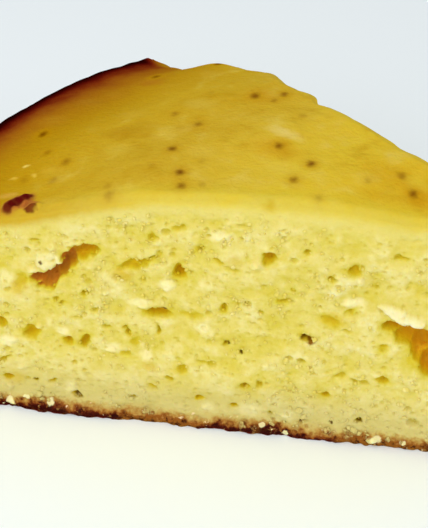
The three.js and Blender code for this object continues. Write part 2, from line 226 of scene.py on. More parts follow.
SMALL_HOLLOWS = [
    (28.9, 30.5, 2.6, 1.1, 0.7, 30), (28.8, 26.4, 2.0, 1.1, 0.6, -15),
    (64.4, 38.3, 3.4, 1.0, 0.9, 32), (57.0, 26.8, 5.4, 1.6, 0.6, 4),
    (88.4, 30.8, 2.6, 4.2, 0.8, -20), (63.3, 22.2, 1.3, 2.4, 1.0, 0),
    (69.2, 20.9, 1.2, 3.0, 0.9, 12), (61.3, 11.3, 1.9, 1.5, 0.9, 0), (64.5, 8.8, 2.6, 2.1, 0.7, 0),
    (43.9, 12.1, 1.5, 1.3, 1.0, 0), (41.0, 31.7, 2.0, 1.6, 0.9, 0), (22.0, 23.5, 2.0, 1.8, 0.8, 0),
    (26.4, 14.7, 2.4, 1.2, 0.9, 0), (24.8, 5.4, 1.9, 1.2, 1.2, 10), (60.2, 45.0, 3.4, 1.5, 0.7, 30),
    (49.0, 47.0, 2.8, 1.2, 0.5, 0), (32.5, 37.6, 1.4, 1.7, 0.9, 0), (73.0, 21.9, 1.8, 1.3, 0.7, 0),
    (67.3, 18.4, 1.8, 3.4, 0.5, 0), (56.4, 41.4, 2.0, 1.8, 0.6, 0), (53.0, 39.1, 2.2, 1.0, 0.7, 0),
    (50.0, 38.1, 3.2, 1.0, 0.5, -4), (69.4, 15.7, 3.2, 1.2, 0.6, 0),
    (50.3, 21.0, 1.6, 1.1, 1.3, 35), (86.8, 7.2, 1.2, 1.0, 1.3, 0), (84.9, 35.2, 1.0, 1.0, 1.2, 0),
    (29.9, 4.4, 1.0, 1.0, 1.2, 0), (35.4, 3.4, 1.2, 1.2, 1.3, 0), (68.4, 5.5, 1.0, 0.9, 0.9, 0),
    (47.8, 19.1, 0.9, 0.9, 0.8, 0), (44.4, 29.2, 1.7, 1.1, 0.5, 0), (81.0, 26.0, 1.7, 1.1, 0.7, 0),
    (79.0, 23.4, 2.2, 1.5, 0.5, 0), (78.9, 12.4, 1.4, 1.2, 0.8, 0), (77.1, 11.0, 1.2, 1.0, 0.7, 0),
    (55.0, 16.0, 3.0, 1.2, 0.5, -5), (37.2, 43.0, 1.6, 1.4, 0.9, 0), (41.8, 5.2, 1.0, 1.1, 1.0, 0),
    (92.6, 11.6, 1.1, 2.8, 1.0, -30), (64.6, 42.6, 1.8, 1.8, 0.7, 0),
    (74.9, 25.5, 1.1, 1.1, 0.6, 0), (82.3, 27.0, 1.2, 1.0, 0.6, 0), (39.5, 34.5, 1.3, 0.8, 0.7, 0),
    (20.4, 43.5, 2.2, 1.4, 0.5, 0), (30.2, 15.4, 1.0, 0.9, 0.8, 0), (86.0, 40.0, 2.2, 1.1, 0.6, 0),
    (96.4, 10.4, 2.0, 1.4, 1.0, -10), (101.0, 31.0, 1.6, 1.2, 0.9, 0),
    (109.0, 10.0, 1.8, 2.0, 0.9, 0), (5.2, 24.5, 1.5, 1.9, 0.9, 0), (10.4, 42.0, 1.8, 1.0, 0.6, 0),
]
NEAR_TONGUES = [(83.6, 35.4, 5.0, 3.4, 0.4, 22), (19.4, 31.1, 9.4, 2.4, 0.9, -18)]
NEAR_LOBES = [
    (86.3, 33.0, 1.8, 1.3, 0.8, 0), (81.6, 36.2, 1.6, 2.4, 1.0, 0), (61.5, 32.8, 2.8, 2.2, 0.7, 20),
    (52.3, 44.5, 3.8, 1.4, 0.5, 0), (48.0, 44.7, 1.9, 1.2, 0.4, 0), (46.3, 39.3, 2.0, 1.4, 0.6, 0),
    (63.7, 41.6, 1.9, 2.0, 0.5, 20), (88.4, 11.0, 4.4, 1.8, 0.6, 8), (91.6, 5.4, 1.4, 2.6, 0.6, 0),
    (91.4, 1.6, 1.8, 1.9, 0.8, 0), (79.6, 6.6, 1.0, 2.6, 0.5, 0), (76.4, 30.6, 1.5, 1.0, 0.6, 0),
    (73.1, 29.6, 1.5, 1.2, 0.5, 0), (86.0, 20.9, 1.7, 1.1, 0.5, 0), (29.0, 32.2, 3.8, 1.9, 0.6, 10),
    (27.2, 37.4, 1.3, 2.6, 0.5, 0), (31.8, 34.8, 2.2, 1.5, 0.5, 0), (38.5, 5.2, 2.6, 1.4, 0.6, 0),
    (23.4, 6.0, 1.3, 1.4, 0.5, 0), (21.8, 1.9, 1.9, 2.0, 0.9, 0), (16.0, 1.8, 1.2, 1.6, 0.7, 0),
    (66.3, 27.6, 1.7, 1.1, 0.4, 0), (72.2, 16.3, 1.9, 1.6, 0.4, 0), (81.0, 19.7, 2.6, 1.2, 0.4, 0),
    (91.6, 16.4, 3.4, 2.4, 0.5, 0), (42.7, 16.4, 1.3, 2.0, 0.4, 0), (44.7, 5.6, 1.4, 1.9, 0.4, 0),
    (53.8, 4.9, 1.9, 1.2, 0.4, 0), (82.5, 38.6, 3.0, 1.6, 0.5, 0), (57.6, 7.4, 1.9, 1.4, 0.4, 0),
]
print(len(NEAR_HOLLOWS + SMALL_HOLLOWS), "hollows and", len(NEAR_LOBES), "lobes on the near cut")

# %% [markdown]
# The far cut isn't seen in the photo. Its bubbles are scattered by the same draw that the solid
# uses, so they fall in the same places.

# %% Scattered hollows of the far cut
FAR_SCATTER = 26
SCATTER_WIDTH, SCATTER_FLATNESS, SCATTER_DEPTH = (1.9, 4.6), (0.5, 0.95), (0.35, 0.6)
SCATTER_TILT, SCATTER_MARGIN, SCATTER_GAP, SCATTER_SEED = (-25, 25), 3.5, 1.2, 4711
LEHMER_FACTOR, LEHMER_PRIME = 48271, 2147483647


def seeded_random(state):
    """Endless numbers from 0 to 1, after Lehmer's rule."""
    while True:
        state = state * LEHMER_FACTOR % LEHMER_PRIME
        yield state / LEHMER_PRIME


def within(span, share):
    """The number that lies a share of the way along a span."""
    return span[0] + (span[1] - span[0]) * share


def scattered_hollows(count, draw):
    found = []
    while len(found) < count:
        along = within((SCATTER_MARGIN, PAN_RADIUS - 2 * SCATTER_MARGIN), next(draw))
        roof = float(skin_height(along, 0.0)) - SCATTER_MARGIN
        up = within((SCATTER_MARGIN, roof), next(draw))
        width = within(SCATTER_WIDTH, next(draw) ** 2)
        if any(
            math.hypot(other[0] - along, other[1] - up) <= (other[2] + width) / 2 + SCATTER_GAP
            for other in found
        ):
            continue
        height = width * within(SCATTER_FLATNESS, next(draw))
        depth = width * within(SCATTER_DEPTH, next(draw))
        tilt = within(SCATTER_TILT, next(draw))
        found.append((along, up, width, height, depth, tilt))
    return found


far_hollows = scattered_hollows(FAR_SCATTER, seeded_random(SCATTER_SEED))
print(len(far_hollows), "hollows on the far cut")

# %% [markdown]
# The mesh starts as a finely divided box. Only its outer shell is made, with the points along its
# edges shared, so it is closed from the start. Its first axis will run from the tip to the rim,
# its second round the slice and its third up. Steps are bunched towards the ends, where the edges
# need them. Inner points are also shifted a little at random, since an even grid would show as a
# weave in the smooth skin.

# %% A divided box shell
STEPS = RADIAL_STEPS, ANGLE_STEPS, HEIGHT_STEPS = 500, 110, 200
BUNCH = (0.15, 0.6, 0.2)
JITTER, JITTER_SALT = 0.3, 900  # in steps, and its salt


def box_shell(steps):
    """Whole-number places of the shell's points, and its quads, wound for the wedge."""
    corners = []
    for axis, end in itertools.product(range(3), (0, 1)):
        u, v = [a for a in range(3) if a != axis]
        a, b = np.meshgrid(np.arange(steps[u]), np.arange(steps[v]), indexing="ij")
        quad = np.zeros(a.shape + (4, 3), int)
        quad[..., axis] = end * steps[axis]
        for k, (du, dv) in enumerate([(0, 0), (1, 0), (1, 1), (0, 1)]):
            quad[..., k, u], quad[..., k, v] = a + du, b + dv
        outward = (end == 1) != (axis == 1)
        corners.append((quad[..., ::-1, :] if outward else quad).reshape(-1, 4, 3))
    corners = np.concatenate(corners)
    width = max(steps) + 1
    keys = (corners[..., 0] * width + corners[..., 1]) * width + corners[..., 2]
    _, first, quads = np.unique(keys, return_index=True, return_inverse=True)
    return corners.reshape(-1, 3)[first], quads.reshape(-1, 4)


def shares(axis):
    """How far along one axis each point lies, from 0 to 1, after the random shift and bunching."""
    place = lattice[:, axis]
    inner = (place > 0) & (place < STEPS[axis])
    share = (place + inner * JITTER * (2 * hashed(lattice, JITTER_SALT + axis) - 1)) / STEPS[axis]
    return share - BUNCH[axis] * np.sin(2 * np.pi * share) / (2 * np.pi)


lattice, quads = box_shell(STEPS)
out_share, rise = shares(0), shares(2)
angle = shares(1) * SLICE
on_near, on_far = lattice[:, 1] == 0, lattice[:, 1] == ANGLE_STEPS
on_base, on_top = lattice[:, 2] == 0, lattice[:, 2] == HEIGHT_STEPS
on_wall = lattice[:, 0] == RADIAL_STEPS
print(len(lattice), "points and", len(quads), "quads")

# %% [markdown]
# The box is bent into the wedge: out becomes distance from the tip, round becomes an angle and
# up is stretched to reach the skin. The cut faces then get the low waves that a knife drags into
# soft crumb, and the far cut the nicks where its skin tore.

# %% Bend the box into the wedge
WALL_GRIP = 6  # the higher, the nearer to the wall its lean and its rounding stay


def drag_wave(along, height):
    """The low waves that a knife leaves, in mm out of the cut."""
    total = 0
    for size, length, degrees in DRAG_WAVES:
        turn = math.radians(degrees)
        way = along * math.cos(turn) + height * math.sin(turn)
        total = total + size * np.sin(2 * np.pi * way / length)
    return total


def nick_depth(along, height, skin):
    """How far the torn nicks under the far skin reach in, in mm."""
    total = sum(depth * bell(along - middle, width / 2) for middle, width, depth in SKIN_NICKS)
    return total * soft_step(skin - NICK_HEIGHT, skin, height)


reach = TIP_BLUNT + out_share * (PAN_RADIUS - TIP_BLUNT)
skin = skin_height(reach, angle)
height = rise * skin
along = reach - out_share**WALL_GRIP * (PAN_RADIUS - wall_radius(rise * RIM_HEIGHT))
settle = soft_step(0, FOOT_BAND, height)
near_share = 1 - soft_step(0, CUT_FALLOFF, along * angle)
far_share = 1 - soft_step(0, CUT_FALLOFF, along * (SLICE - angle))
near_out = near_share * settle * drag_wave(along, height)
far_out = far_share * (
    settle * drag_wave(along + FAR_DRAG_SHIFT, height) - nick_depth(along, height, skin)
)

NEAR_NORMAL = np.array([0.0, -1.0, 0.0])
FAR_NORMAL = np.array([math.sin(SLICE), math.cos(SLICE), 0.0])
points = np.stack([-along * np.cos(angle), along * np.sin(angle), height], axis=1)
points += near_out[:, None] * NEAR_NORMAL + far_out[:, None] * FAR_NORMAL
skin_depth = skin - height
rim_depth = wall_radius(rise * RIM_HEIGHT) - along
from_near, from_far = along * np.sin(angle), along * np.sin(SLICE - angle)
print("wedge in mm:", points.min(0).round(1), points.max(0).round(1))

# %% [markdown]
# Now the crumb. Each point of a cut moves in or out by the sum of soft lumps, pores of three
# sizes and the opened bubbles. Bubbles rise as the cake bakes, so the pores are a little wider
# than they are tall. Just under the skin the crumb is close and smooth, so the relief fades there.
# A warp of three sizes makes every outline ragged. Deep hollows get steep walls and shallow ones
# soft slopes, and the roof of a large one is undercut: its points also move up, under the lip. A
# tongue is a flat flap with a steep edge, and a lobe is a soft bump. The foot of the near cut
# bulges a little where the crumb was squeezed out over the crust.
# How far a point ends up behind the plane of the cut is kept as its "dip", because the colour of
# crumb goes with it, and with it the painted highlight on proud crumb and the painted shade in
# hollows. A little of each bubble's own depth is added in a wider ring, as the crumb round a bubble
# is golden too: partly its own colour, partly painted shade. A tongue's dip is lowered, which
# paints
# it cream: a painted highlight.

# %% Relief of the two cuts
NEAR_SALT, FAR_SALT = 100, 300
PORE_SALT, WARP_SALT, FLAKE_SALT = 10, 50, 70  # these three are added to one of those
LUMPS = [(4.2, 0.30), (1.9, 0.20), (0.95, 0.11)]  # cell and height
PORES = [(5.2, 0.30, (0.10, 0.24)), (2.5, 0.60, (0.12, 0.32)), (1.25, 0.7, (0.2, 0.42))]
PORE_SHARE, PORE_FLATTEN, PORE_PUSH = 0.75, 1.25, 0.3
CLOSE_CRUMB = (0.5, 5.5)  # mm below the skin where the relief starts and is full
CLOSE_LUMPS = 0.35  # the share of the lumps that is left in close crumb
FLOOR_ROUGH, FLOOR_ROUGH_TO = 0.6, 3  # the floor of a bubble is rougher, down to this depth
SKIN_FREE = 0.8  # mm below the skin that the relief leaves in place
WARPS = [(2.3, 0.50), (0.95, 0.32), (0.55, 0.15)]  # cell and size
WALL_STEEP, WALL_STEEP_RANGE = (1.5, 0.25), (0.7, 1.3)  # power of a bubble's wall, by its depth
UNDERCUT, UNDERCUT_FROM = 0.35, 2.7  # only hollows at least this deep overhang
ROOF = (-0.3, 0.6)  # from where to where, in half heights, a hollow turns into its roof
STAIN_AND_SHADE_REACH, STAIN_AND_SHADE_SHARE, STAIN_AND_SHADE_MOST = 1.5, 0.6, 1.3
FLAP_EDGE, FLAP_LIFT, SOFT_BUMP = 0.35, 0.5, 1.1
BLEND = 4  # hollows that touch run into each other: the higher, the sharper the ridge between
PROUD_MOST = 0.45  # the colour of crumb that stands out changes no further than this
CRUST_BAND, CRUST_BLEND, CRUST_PROUD = 2.0, 0.8, 0.25
CRUST_FLAKES = [(2.6, 0.26), (1.1, 0.24), (0.6, 0.14)]
NEAR_FOOT = [  # middle, length and bulge
    (78.6, 22, 0.95), (58.0, 16, 0.35), (47.0, 10, 0.4), (30.5, 12, 0.35),
]


def bubbles(spots, along, up, warp, soft=None):
    """Depth of the bubbles, the rise of their roofs and the golden ring round them, partly stain
    and partly painted shade.
    """
    depth, lift, stain_and_shade = (np.zeros(len(along)) for _ in range(3))
    for middle, centre, width, tall, deep, tilt in spots:
        turn = math.radians(tilt)
        da, du = middle - along + warp[0], up - centre + warp[1]
        x = (da * math.cos(turn) + du * math.sin(turn)) / (width / 2)
        y = (du * math.cos(turn) - da * math.sin(turn)) / (tall / 2)
        inside = x**2 + y**2
        steep = soft or np.clip(WALL_STEEP[0] - WALL_STEEP[1] * deep, *WALL_STEEP_RANGE)
        here = deep * np.clip(1 - inside, 0, 1) ** steep
        if deep >= UNDERCUT_FROM:
            lift += (UNDERCUT * here * soft_step(*ROOF, y)) ** BLEND
        depth += here**BLEND
        ring = min(deep, STAIN_AND_SHADE_MOST) * np.clip(1 - inside / STAIN_AND_SHADE_REACH**2, 0, 1)
        stain_and_shade = np.maximum(stain_and_shade, STAIN_AND_SHADE_SHARE * ring)
    return depth ** (1 / BLEND), lift ** (1 / BLEND), stain_and_shade


def crumb_relief(on_cut, hollows, tongues, lobes, foot, salt):
    """How far the points of one cut move out of it and how far they rise, and their dip."""
    place = points[on_cut] * (1, 1, PORE_FLATTEN)
    a, up = along[on_cut], height[on_cut]
    warp = [lumps_of(place, WARPS, salt + WARP_SALT + axis, 0) for axis in (0, 1)]
    lumps = lumps_of(place, LUMPS, salt)
    ragged = place + PORE_PUSH * np.stack([lumps, -lumps, lumps], axis=1)
    pores = [dents(ragged, *pore, salt + PORE_SALT * (k + 1)) for k, pore in enumerate(PORES)]
    close = soft_step(*CLOSE_CRUMB, skin_depth[on_cut])
    depth, lift, stain_and_shade = bubbles(hollows, a, up, warp)
    tongue, _, _ = bubbles(tongues, a, up, warp, FLAP_EDGE)
    lobe, _, _ = bubbles(lobes, a, up, warp, SOFT_BUMP)
    covered = tongue > 0
    proud = np.maximum(tongue, lobe) * (1 + lumps)
    clear_of_crust = soft_step(CRUST_BAND - CRUST_BLEND, CRUST_BAND + CRUST_BLEND, up)
    rough = 1 + FLOOR_ROUGH * np.minimum(depth, FLOOR_ROUGH_TO)
    out = (CLOSE_LUMPS + (1 - CLOSE_LUMPS) * close) * lumps * rough
    out -= close * (PORE_SHARE * sum(pores)) * np.clip(1 - lobe, 0, 1)
    out = clear_of_crust * out + proud - np.where(covered, 0, depth)
    dip = np.where(out > 0, -PROUD_MOST * np.tanh(out / PROUD_MOST), -out)
    # The ring and the tongues go into the dip and so into the colour: partly painted shade round
    # bubbles, and a painted highlight on the tongues.
    dip += np.where(covered, -FLAP_LIFT * tongue, stain_and_shade)
    flaky = CRUST_PROUD + lumps_of(place, CRUST_FLAKES, salt + FLAKE_SALT, 0)
    for middle, length, bulge in foot:
        flaky += bulge * np.clip(1 - (2 * (a - middle) / length) ** 2, 0, 1)
    out += (1 - clear_of_crust) * flaky
    out *= soft_step(0, SKIN_FREE, skin_depth[on_cut])
    return out, np.where(covered, -FLAP_LIFT * tongue, lift), dip


near_relief = NEAR_HOLLOWS + SMALL_HOLLOWS, NEAR_TONGUES, NEAR_LOBES, NEAR_FOOT, NEAR_SALT
far_relief = far_hollows, [], [], [], FAR_SALT
dip = np.zeros(len(points))
for on_cut, normal, relief in [
    (on_near, NEAR_NORMAL, near_relief), (on_far, FAR_NORMAL, far_relief),
]:
    out, rise_by, dip[on_cut] = crumb_relief(on_cut, *relief)
    points[on_cut] += out[:, None] * normal
    points[on_cut, 2] += rise_by
print("dip of the crumb, mm:", dip.min().round(2), "to", dip.max().round(2))

# %% [markdown]
# The skin is smooth and slack, with shallow dimples, and two blisters of burnt sugar near the cut.
# It gets bumpy where it turns down into the rim. All of this fades out down the cuts, so that no
# step is left at the edge, and then the edges themselves are rounded over. The wall keeps small
# wrinkles from the tin's paper, and the base has small craters and a crumbled edge. The base only
# ever moves up, so that the slice still stands on the same plane.

# %% Relief of the skin, the wall and the base
SKIN_SALT, RIM_SALT, WALL_SALT = 500, 520, 540
BASE_EDGE_SALT, CRATER_SALT, BLISTER_SALT = 560, 580, 77
SKIN_LUMPS = [(11.0, 0.22), (3.6, 0.10), (1.5, 0.05)]
RIM_LUMPS, RIM_LUMPS_FADE = [(4.5, 0.40), (1.9, 0.20)], (7, 1)
WALL_LUMPS = [(6.0, 0.30), (2.0, 0.16), (0.9, 0.07)]
BASE_CRATERS = (2.4, 0.5, (0.15, 0.34))
BASE_EDGE_LUMPS, BASE_EDGE = [(2.4, 0.22), (1.0, 0.16)], (2.0, 0.3)
SKIN_GRIP = 3.0
EDGE_ROUND, NEAR_EDGE_SINK, FAR_EDGE_SINK = 1.5, 0.3, 0.08
BLISTERS = [  # along, angle, length, width, height and turn
    (89.7, 2.5, 6.4, 4.6, 0.75, 48), (86.0, 1.1, 2.8, 2.4, 0.55, 10),
]
BLISTER_WRINKLES = [(0.8, 0.5)]


def blister_height(place):
    """Height of the burnt blisters over the skin, with wrinkled tops."""
    total = np.zeros(len(place))
    for middle, degrees, length, width, tall, tilt in BLISTERS:
        turn, at = math.radians(tilt), math.radians(degrees)
        x = place[:, 0] + middle * math.cos(at)
        y = place[:, 1] - middle * math.sin(at)
        u = (y * math.cos(turn) - x * math.sin(turn)) / (width / 2)
        v = (x * math.cos(turn) + y * math.sin(turn)) / (length / 2)
        total = np.maximum(total, tall * np.clip(1 - u**2 - v**2, 0, 1) ** 0.5)
    return total * (1 + lumps_of(place, BLISTER_WRINKLES, BLISTER_SALT))


held = skin_depth < SKIN_GRIP
near_rim = soft_step(*RIM_LUMPS_FADE, rim_depth[held])
rises = lumps_of(points[held], SKIN_LUMPS, SKIN_SALT)
rises += near_rim * lumps_of(points[held], RIM_LUMPS, RIM_SALT)
rises += blister_height(points[held])
points[held, 2] += soft_step(SKIN_GRIP, 0, skin_depth[held]) * rises
for on_cut, normal, from_this, sink in [
    (on_near, NEAR_NORMAL, from_near, NEAR_EDGE_SINK),
    (on_far, FAR_NORMAL, from_far, FAR_EDGE_SINK),
]:
    at = on_cut | on_top
    from_edge = np.where(on_cut, skin_depth, from_this)[at]
    fade = sink * np.clip(1 - from_edge / EDGE_ROUND, 0, 1) ** 2
    points[at] -= fade[:, None] * (normal + (0, 0, 1))

outward = np.stack([-np.cos(angle), np.sin(angle), 0 * angle], axis=1)[on_wall]
points[on_wall] += lumps_of(points[on_wall], WALL_LUMPS, WALL_SALT)[:, None] * outward
from_cut = np.minimum(from_near, from_far)
at_edge = soft_step(*BASE_EDGE, np.minimum(from_cut, rim_depth))[on_base]
base = points[on_base]
crumbled = at_edge * np.clip(lumps_of(base, BASE_EDGE_LUMPS, BASE_EDGE_SALT), 0, None)
points[on_base, 2] += crumbled + (1 - at_edge) * dents(base, *BASE_CRATERS, CRATER_SALT)
print("skin at its highest, mm:", points[:, 2].max().round(2))

# %% [markdown]
# The mesh is now much finer than a library part may be, above all on the smooth base and wall,
# where small faces buy nothing. Decimate by collapse takes points away where the surface is
# smoothest and keeps them where the crumb is rough. The fields that the material needs are stored
# as attributes first, and Blender blends them as it joins points.

# %% Make the mesh and thin it
FACE_BUDGET = 196000
FOOT_WITHIN = 1e-5  # m above the plane that the slice stands on
foot = np.array([v.co for v in cad_slice.data.vertices if v.co.z < FOOT_WITHIN])
TIP = Vector((foot[:, 0].max() + TIP_BLUNT * MM * math.cos(SLICE), foot[:, 1].min(), 0))


def store(mesh, name, values):
    """Keeps one number for each point of a mesh, for the node trees to read."""
    attribute = mesh.attributes.new(name, "FLOAT", "POINT")
    attribute.data.foreach_set("value", values.astype(np.float32))


def slice_mesh():
    mesh = bpy.data.meshes.new("cake_slice_dressed")
    mesh.from_pydata(points * MM + np.array(TIP), [], quads)
    mesh.shade_smooth()
    for name, field in dict(skin_depth=skin_depth, rim_depth=rim_depth, dip=dip).items():
        store(mesh, name, field)
    return mesh


def in_scene(name, data):
    """A new object in the scene."""
    obj = bpy.data.objects.new(name, data)
    bpy.context.scene.collection.objects.link(obj)
    return obj


def settle_modifiers(obj):
    """Turns what an object's modifiers make of it into its plain mesh."""
    evaluated = obj.evaluated_get(bpy.context.evaluated_depsgraph_get())
    mesh = bpy.data.meshes.new_from_object(evaluated)
    obj.modifiers.clear()
    obj.data = mesh


cake = in_scene("cake_slice_dressed", slice_mesh())
thin = cake.modifiers.new("thin", "DECIMATE")
thin.ratio = FACE_BUDGET / (2 * len(quads))
settle_modifiers(cake)
print("slice:", len(cake.data.vertices), "points,", len(cake.data.polygons), "faces")

# %% [markdown]
# Materials come next. A few short helpers keep the node trees readable. One turns a colour as seen
# on screen into the linear numbers that Blender wants, and one adds a node in a single call: an
# input that is a socket is linked, and any other is set. A socket knows its own tree, so few calls
# have to name it. The others stand for sums and products, a soft step, layers of colour, noise, and
# a group of nodes with typed sockets.

# %% Helpers for node trees
def srgb(red, green, blue):
    """A screen colour from 0 to 255 as Blender's linear colour."""
    parts = [c / 255 for c in (red, green, blue)]
    return tuple(((p + 0.055) / 1.055) ** 2.4 if p > 0.04045 else p / 12.92 for p in parts) + (1,)


def node(kind, inputs, tree=None, **settings):
    """Adds a node to the tree that its inputs are from, or else to the one that is given."""
    linked = {k: v for k, v in inputs.items() if isinstance(v, bpy.types.NodeSocket)}
    tree = tree or next(iter(linked.values())).id_data
    made = tree.nodes.new(kind)
    for name, value in settings.items():
        setattr(made, name, value)
    for key, value in inputs.items():
        if key in linked:
            tree.links.new(value, made.inputs[key])
        else:
            made.inputs[key].default_value = value
    return made


def folding(operation):
    """A function that runs two or more values through one kind of Math node."""

    def fold(first, *others):
        for other in others:
            first = node("ShaderNodeMath", {0: first, 1: other}, operation=operation).outputs[0]
        return first

    return fold


plus, minus, times = folding("ADD"), folding("SUBTRACT"), folding("MULTIPLY")
largest, smallest = folding("MAXIMUM"), folding("MINIMUM")


def vector_of(operation, *vectors):
    """Vector maths. A length and a dot product are numbers, and all else is a vector."""
    made = node("ShaderNodeVectorMath", dict(enumerate(vectors)), operation=operation)
    return made.outputs["Value" if operation in ("LENGTH", "DOT_PRODUCT") else "Vector"]


def step_of(value, low, high, first=0.0, last=1.0):
    """first below low, last above high, with a soft step between."""
    inputs = {0: value, 1: low, 2: high, 3: first, 4: last}
    return node("ShaderNodeMapRange", inputs, interpolation_type="SMOOTHSTEP").outputs[0]


def painted(colour, *layers):
    """A colour with layers over it. A layer is a share from 0 to 1 and the colour it brings."""
    for share, shade in layers:
        inputs = {0: share, 6: colour, 7: shade}
        colour = node("ShaderNodeMix", inputs, data_type="RGBA").outputs[2]
    return colour


def ramp_of(value, stops):
    """The colour of a value, straight from stop to stop. A stop is a value and a screen colour."""
    low, high = stops[0][0], stops[-1][0]
    share = node("ShaderNodeMapRange", {0: value, 1: low, 2: high}).outputs[0]
    made = node("ShaderNodeValToRGB", {0: share})
    ramp = made.color_ramp
    ramp.elements.remove(ramp.elements[1])
    ramp.elements[0].position, ramp.elements[0].color = 0, srgb(*stops[0][1:])
    for at, *shade in stops[1:]:
        ramp.elements.new((at - low) / (high - low)).color = srgb(*shade)
    return made.outputs[0]


# %% Helpers for noise and for groups of nodes
SOCKET_KINDS = {  # every other socket is a Float
    "Place": "Vector", "Centre": "Vector", "Half": "Vector", "Colour": "Color",
    "Geometry": "Geometry", "Field": "String", "Detail": "Int", "Seed": "Int",
    "Material": "Material",
}
SPREAD_ROUGH, SPREAD_GAIN = 0.55, 4


def noise_of(place, size, detail=2.0, rough=0.5, output="Fac"):
    """Noise from 0 to 1, with lumps about size mm wide."""
    inputs = {"Vector": place, "Scale": 1 / size, "Detail": detail, "Roughness": rough}
    return node("ShaderNodeTexNoise", inputs).outputs[output]


def spread(place, size, amount, detail=2.0):
    """Noise around 0, about as strong as amount."""
    centred = minus(noise_of(place, size, detail, SPREAD_ROUGH), 0.5)
    return times(centred, SPREAD_GAIN * amount)


def ragged_place(place, size, reach):
    """The place, pushed about by noise, so that round marks get ragged outlines."""
    push = noise_of(place, size, 1.0, output="Color")
    pushed = vector_of("MULTIPLY_ADD", push, (2 * reach,) * 3, place)
    return vector_of("SUBTRACT", pushed, (reach,) * 3)


def new_group(name, inputs, outputs, kind="ShaderNodeTree"):
    """An empty group with its sockets, and what comes into it."""
    group = bpy.data.node_groups.new(name, kind)
    for way, labels in (("INPUT", inputs), ("OUTPUT", outputs)):
        for label in labels:
            socket = "NodeSocket" + SOCKET_KINDS.get(label, "Float")
            group.interface.new_socket(label, in_out=way, socket_type=socket)
    return group, node("NodeGroupInput", {}, group).outputs


def group_of(group, inputs):
    """Adds a group to the tree of its inputs, which are given by name."""
    return node("ShaderNodeGroup", inputs, node_tree=group).outputs


# %% [markdown]
# Crumb is pale yellow, and its colour goes with the dip of the surface. This colour is partly the
# crumb's own and partly painted light. Crumbs that stand proud are cream, a painted highlight,
# because little light soaks away in them. Pores are a greener yellow, bubbles golden, and the
# deepest
# hollows amber to rust: partly the crumb's own colour, partly painted shade, and light that has
# gone through more cake before it comes out. One colour ramp over the dip says all this. Noise
# shifts the dip a little before it is looked up, which mottles the crumb more finely than the mesh
# could.
#
# In this cell and the next ones, a named step holds what step_of asks for: from where to where it
# runs, and the values before and after it. All lengths are in mm.

# %% Colour of the crumb
# Below a dip of 0 the cream is a painted highlight; above it the greener yellow to amber is partly
# painted shade.
CRUMB_STOPS = [  # dip in mm and colour there
    (-1.2, 240, 231, 190), (-0.7, 234, 223, 164), (-0.3, 227, 213, 134), (0.0, 221, 204, 107),
    (0.3, 215, 197, 85), (0.7, 210, 189, 55), (1.2, 206, 180, 30), (1.9, 208, 172, 20),
    (2.8, 216, 168, 20), (4.2, 214, 156, 22),
]
CRUMB_CLOSE, CRUMB_LOW = srgb(221, 205, 112), srgb(202, 187, 117)
CRUMB_MOTTLE = [(2.6, 0.22), (1.1, 0.16), (8.0, 0.10)]  # size and strength
SHALLOW_STEP = (1.2, 0.4)
CLOSE_STEP, LOW_STEP = (5.0, 1.5, 0, 0.75), (15, 4, 0, 0.8)  # below the skin, above the base
CRUMB_CELL, CELL_STEP = 1.3, (0.0, 0.45, 0, 0.7)
CRUMB_GRAIN = (0.45, 3, 0.6)  # size, detail and roughness


def crumb_look():
    group, given = new_group("Crumb look", ("Place", "Dip", "Skin depth", "Up"), ("Colour", "Bump"))
    place, dip = given["Place"], given["Dip"]
    mottled = plus(dip, *(spread(place, *mottle) for mottle in CRUMB_MOTTLE))
    shallow = step_of(dip, *SHALLOW_STEP)
    low = times(step_of(given["Up"], *LOW_STEP), shallow)
    close = times(step_of(given["Skin depth"], *CLOSE_STEP), shallow)
    # The ramp paints highlight on proud crumb and shade in pores and hollows, over the crumb's own
    # colour.
    colour = painted(ramp_of(mottled, CRUMB_STOPS), (low, CRUMB_LOW), (close, CRUMB_CLOSE))
    cells = node("ShaderNodeTexVoronoi", {"Vector": place, "Scale": 1 / CRUMB_CELL})
    pores = step_of(cells.outputs["Distance"], *CELL_STEP)
    bump = plus(noise_of(place, *CRUMB_GRAIN), pores)
    node("NodeGroupOutput", {"Colour": colour, "Bump": bump})
    return group


# %% [markdown]
# Specks, patches, blisters and the marks on the near cut are ovals. One small group draws those
# that are turned: it turns a place into how near it is to the middle of the oval. The others do
# the same with two nodes, which render faster. Marks on the skin are placed by their distance from
# the tip and their angle from the near cut, and marks on the cut by distance and height.

# %% Ovals
def oval_group():
    """How far a place lies inside an oval: 1 in its middle, 0 on its edge, less outside."""
    group, given = new_group("Oval", ("Place", "Centre", "Turn", "Half"), ("Inside",))
    moved = vector_of("SUBTRACT", given["Place"], given["Centre"])
    turned = node(
        "ShaderNodeVectorRotate", {"Vector": moved, "Angle": given["Turn"]},
        rotation_type="Z_AXIS",
    ).outputs[0]
    away = vector_of("LENGTH", vector_of("DIVIDE", turned, given["Half"]))
    node("NodeGroupOutput", {"Inside": minus(1.0, away)})
    return group


OVAL = oval_group()


def oval_of(place, centre, size, turn=0.0):
    """The same for one oval, with its centre and size in mm and its turn in degrees."""
    half = tuple(s / 2 for s in size)
    if turn:
        inputs = {"Place": place, "Centre": centre, "Turn": math.radians(-turn), "Half": half}
        return group_of(OVAL, inputs)[0]
    shift = tuple(-c / h for c, h in zip(centre, half))
    scaled = vector_of("MULTIPLY_ADD", place, tuple(1 / h for h in half), shift)
    return minus(1.0, vector_of("LENGTH", scaled))


def on_skin_at(along, degrees):
    """A place on the skin in mm, from the tip, at a distance and an angle from the near cut."""
    turn = math.radians(degrees)
    up = float(skin_height(float(along), turn))
    return (-along * math.cos(turn), along * math.sin(turn), up)


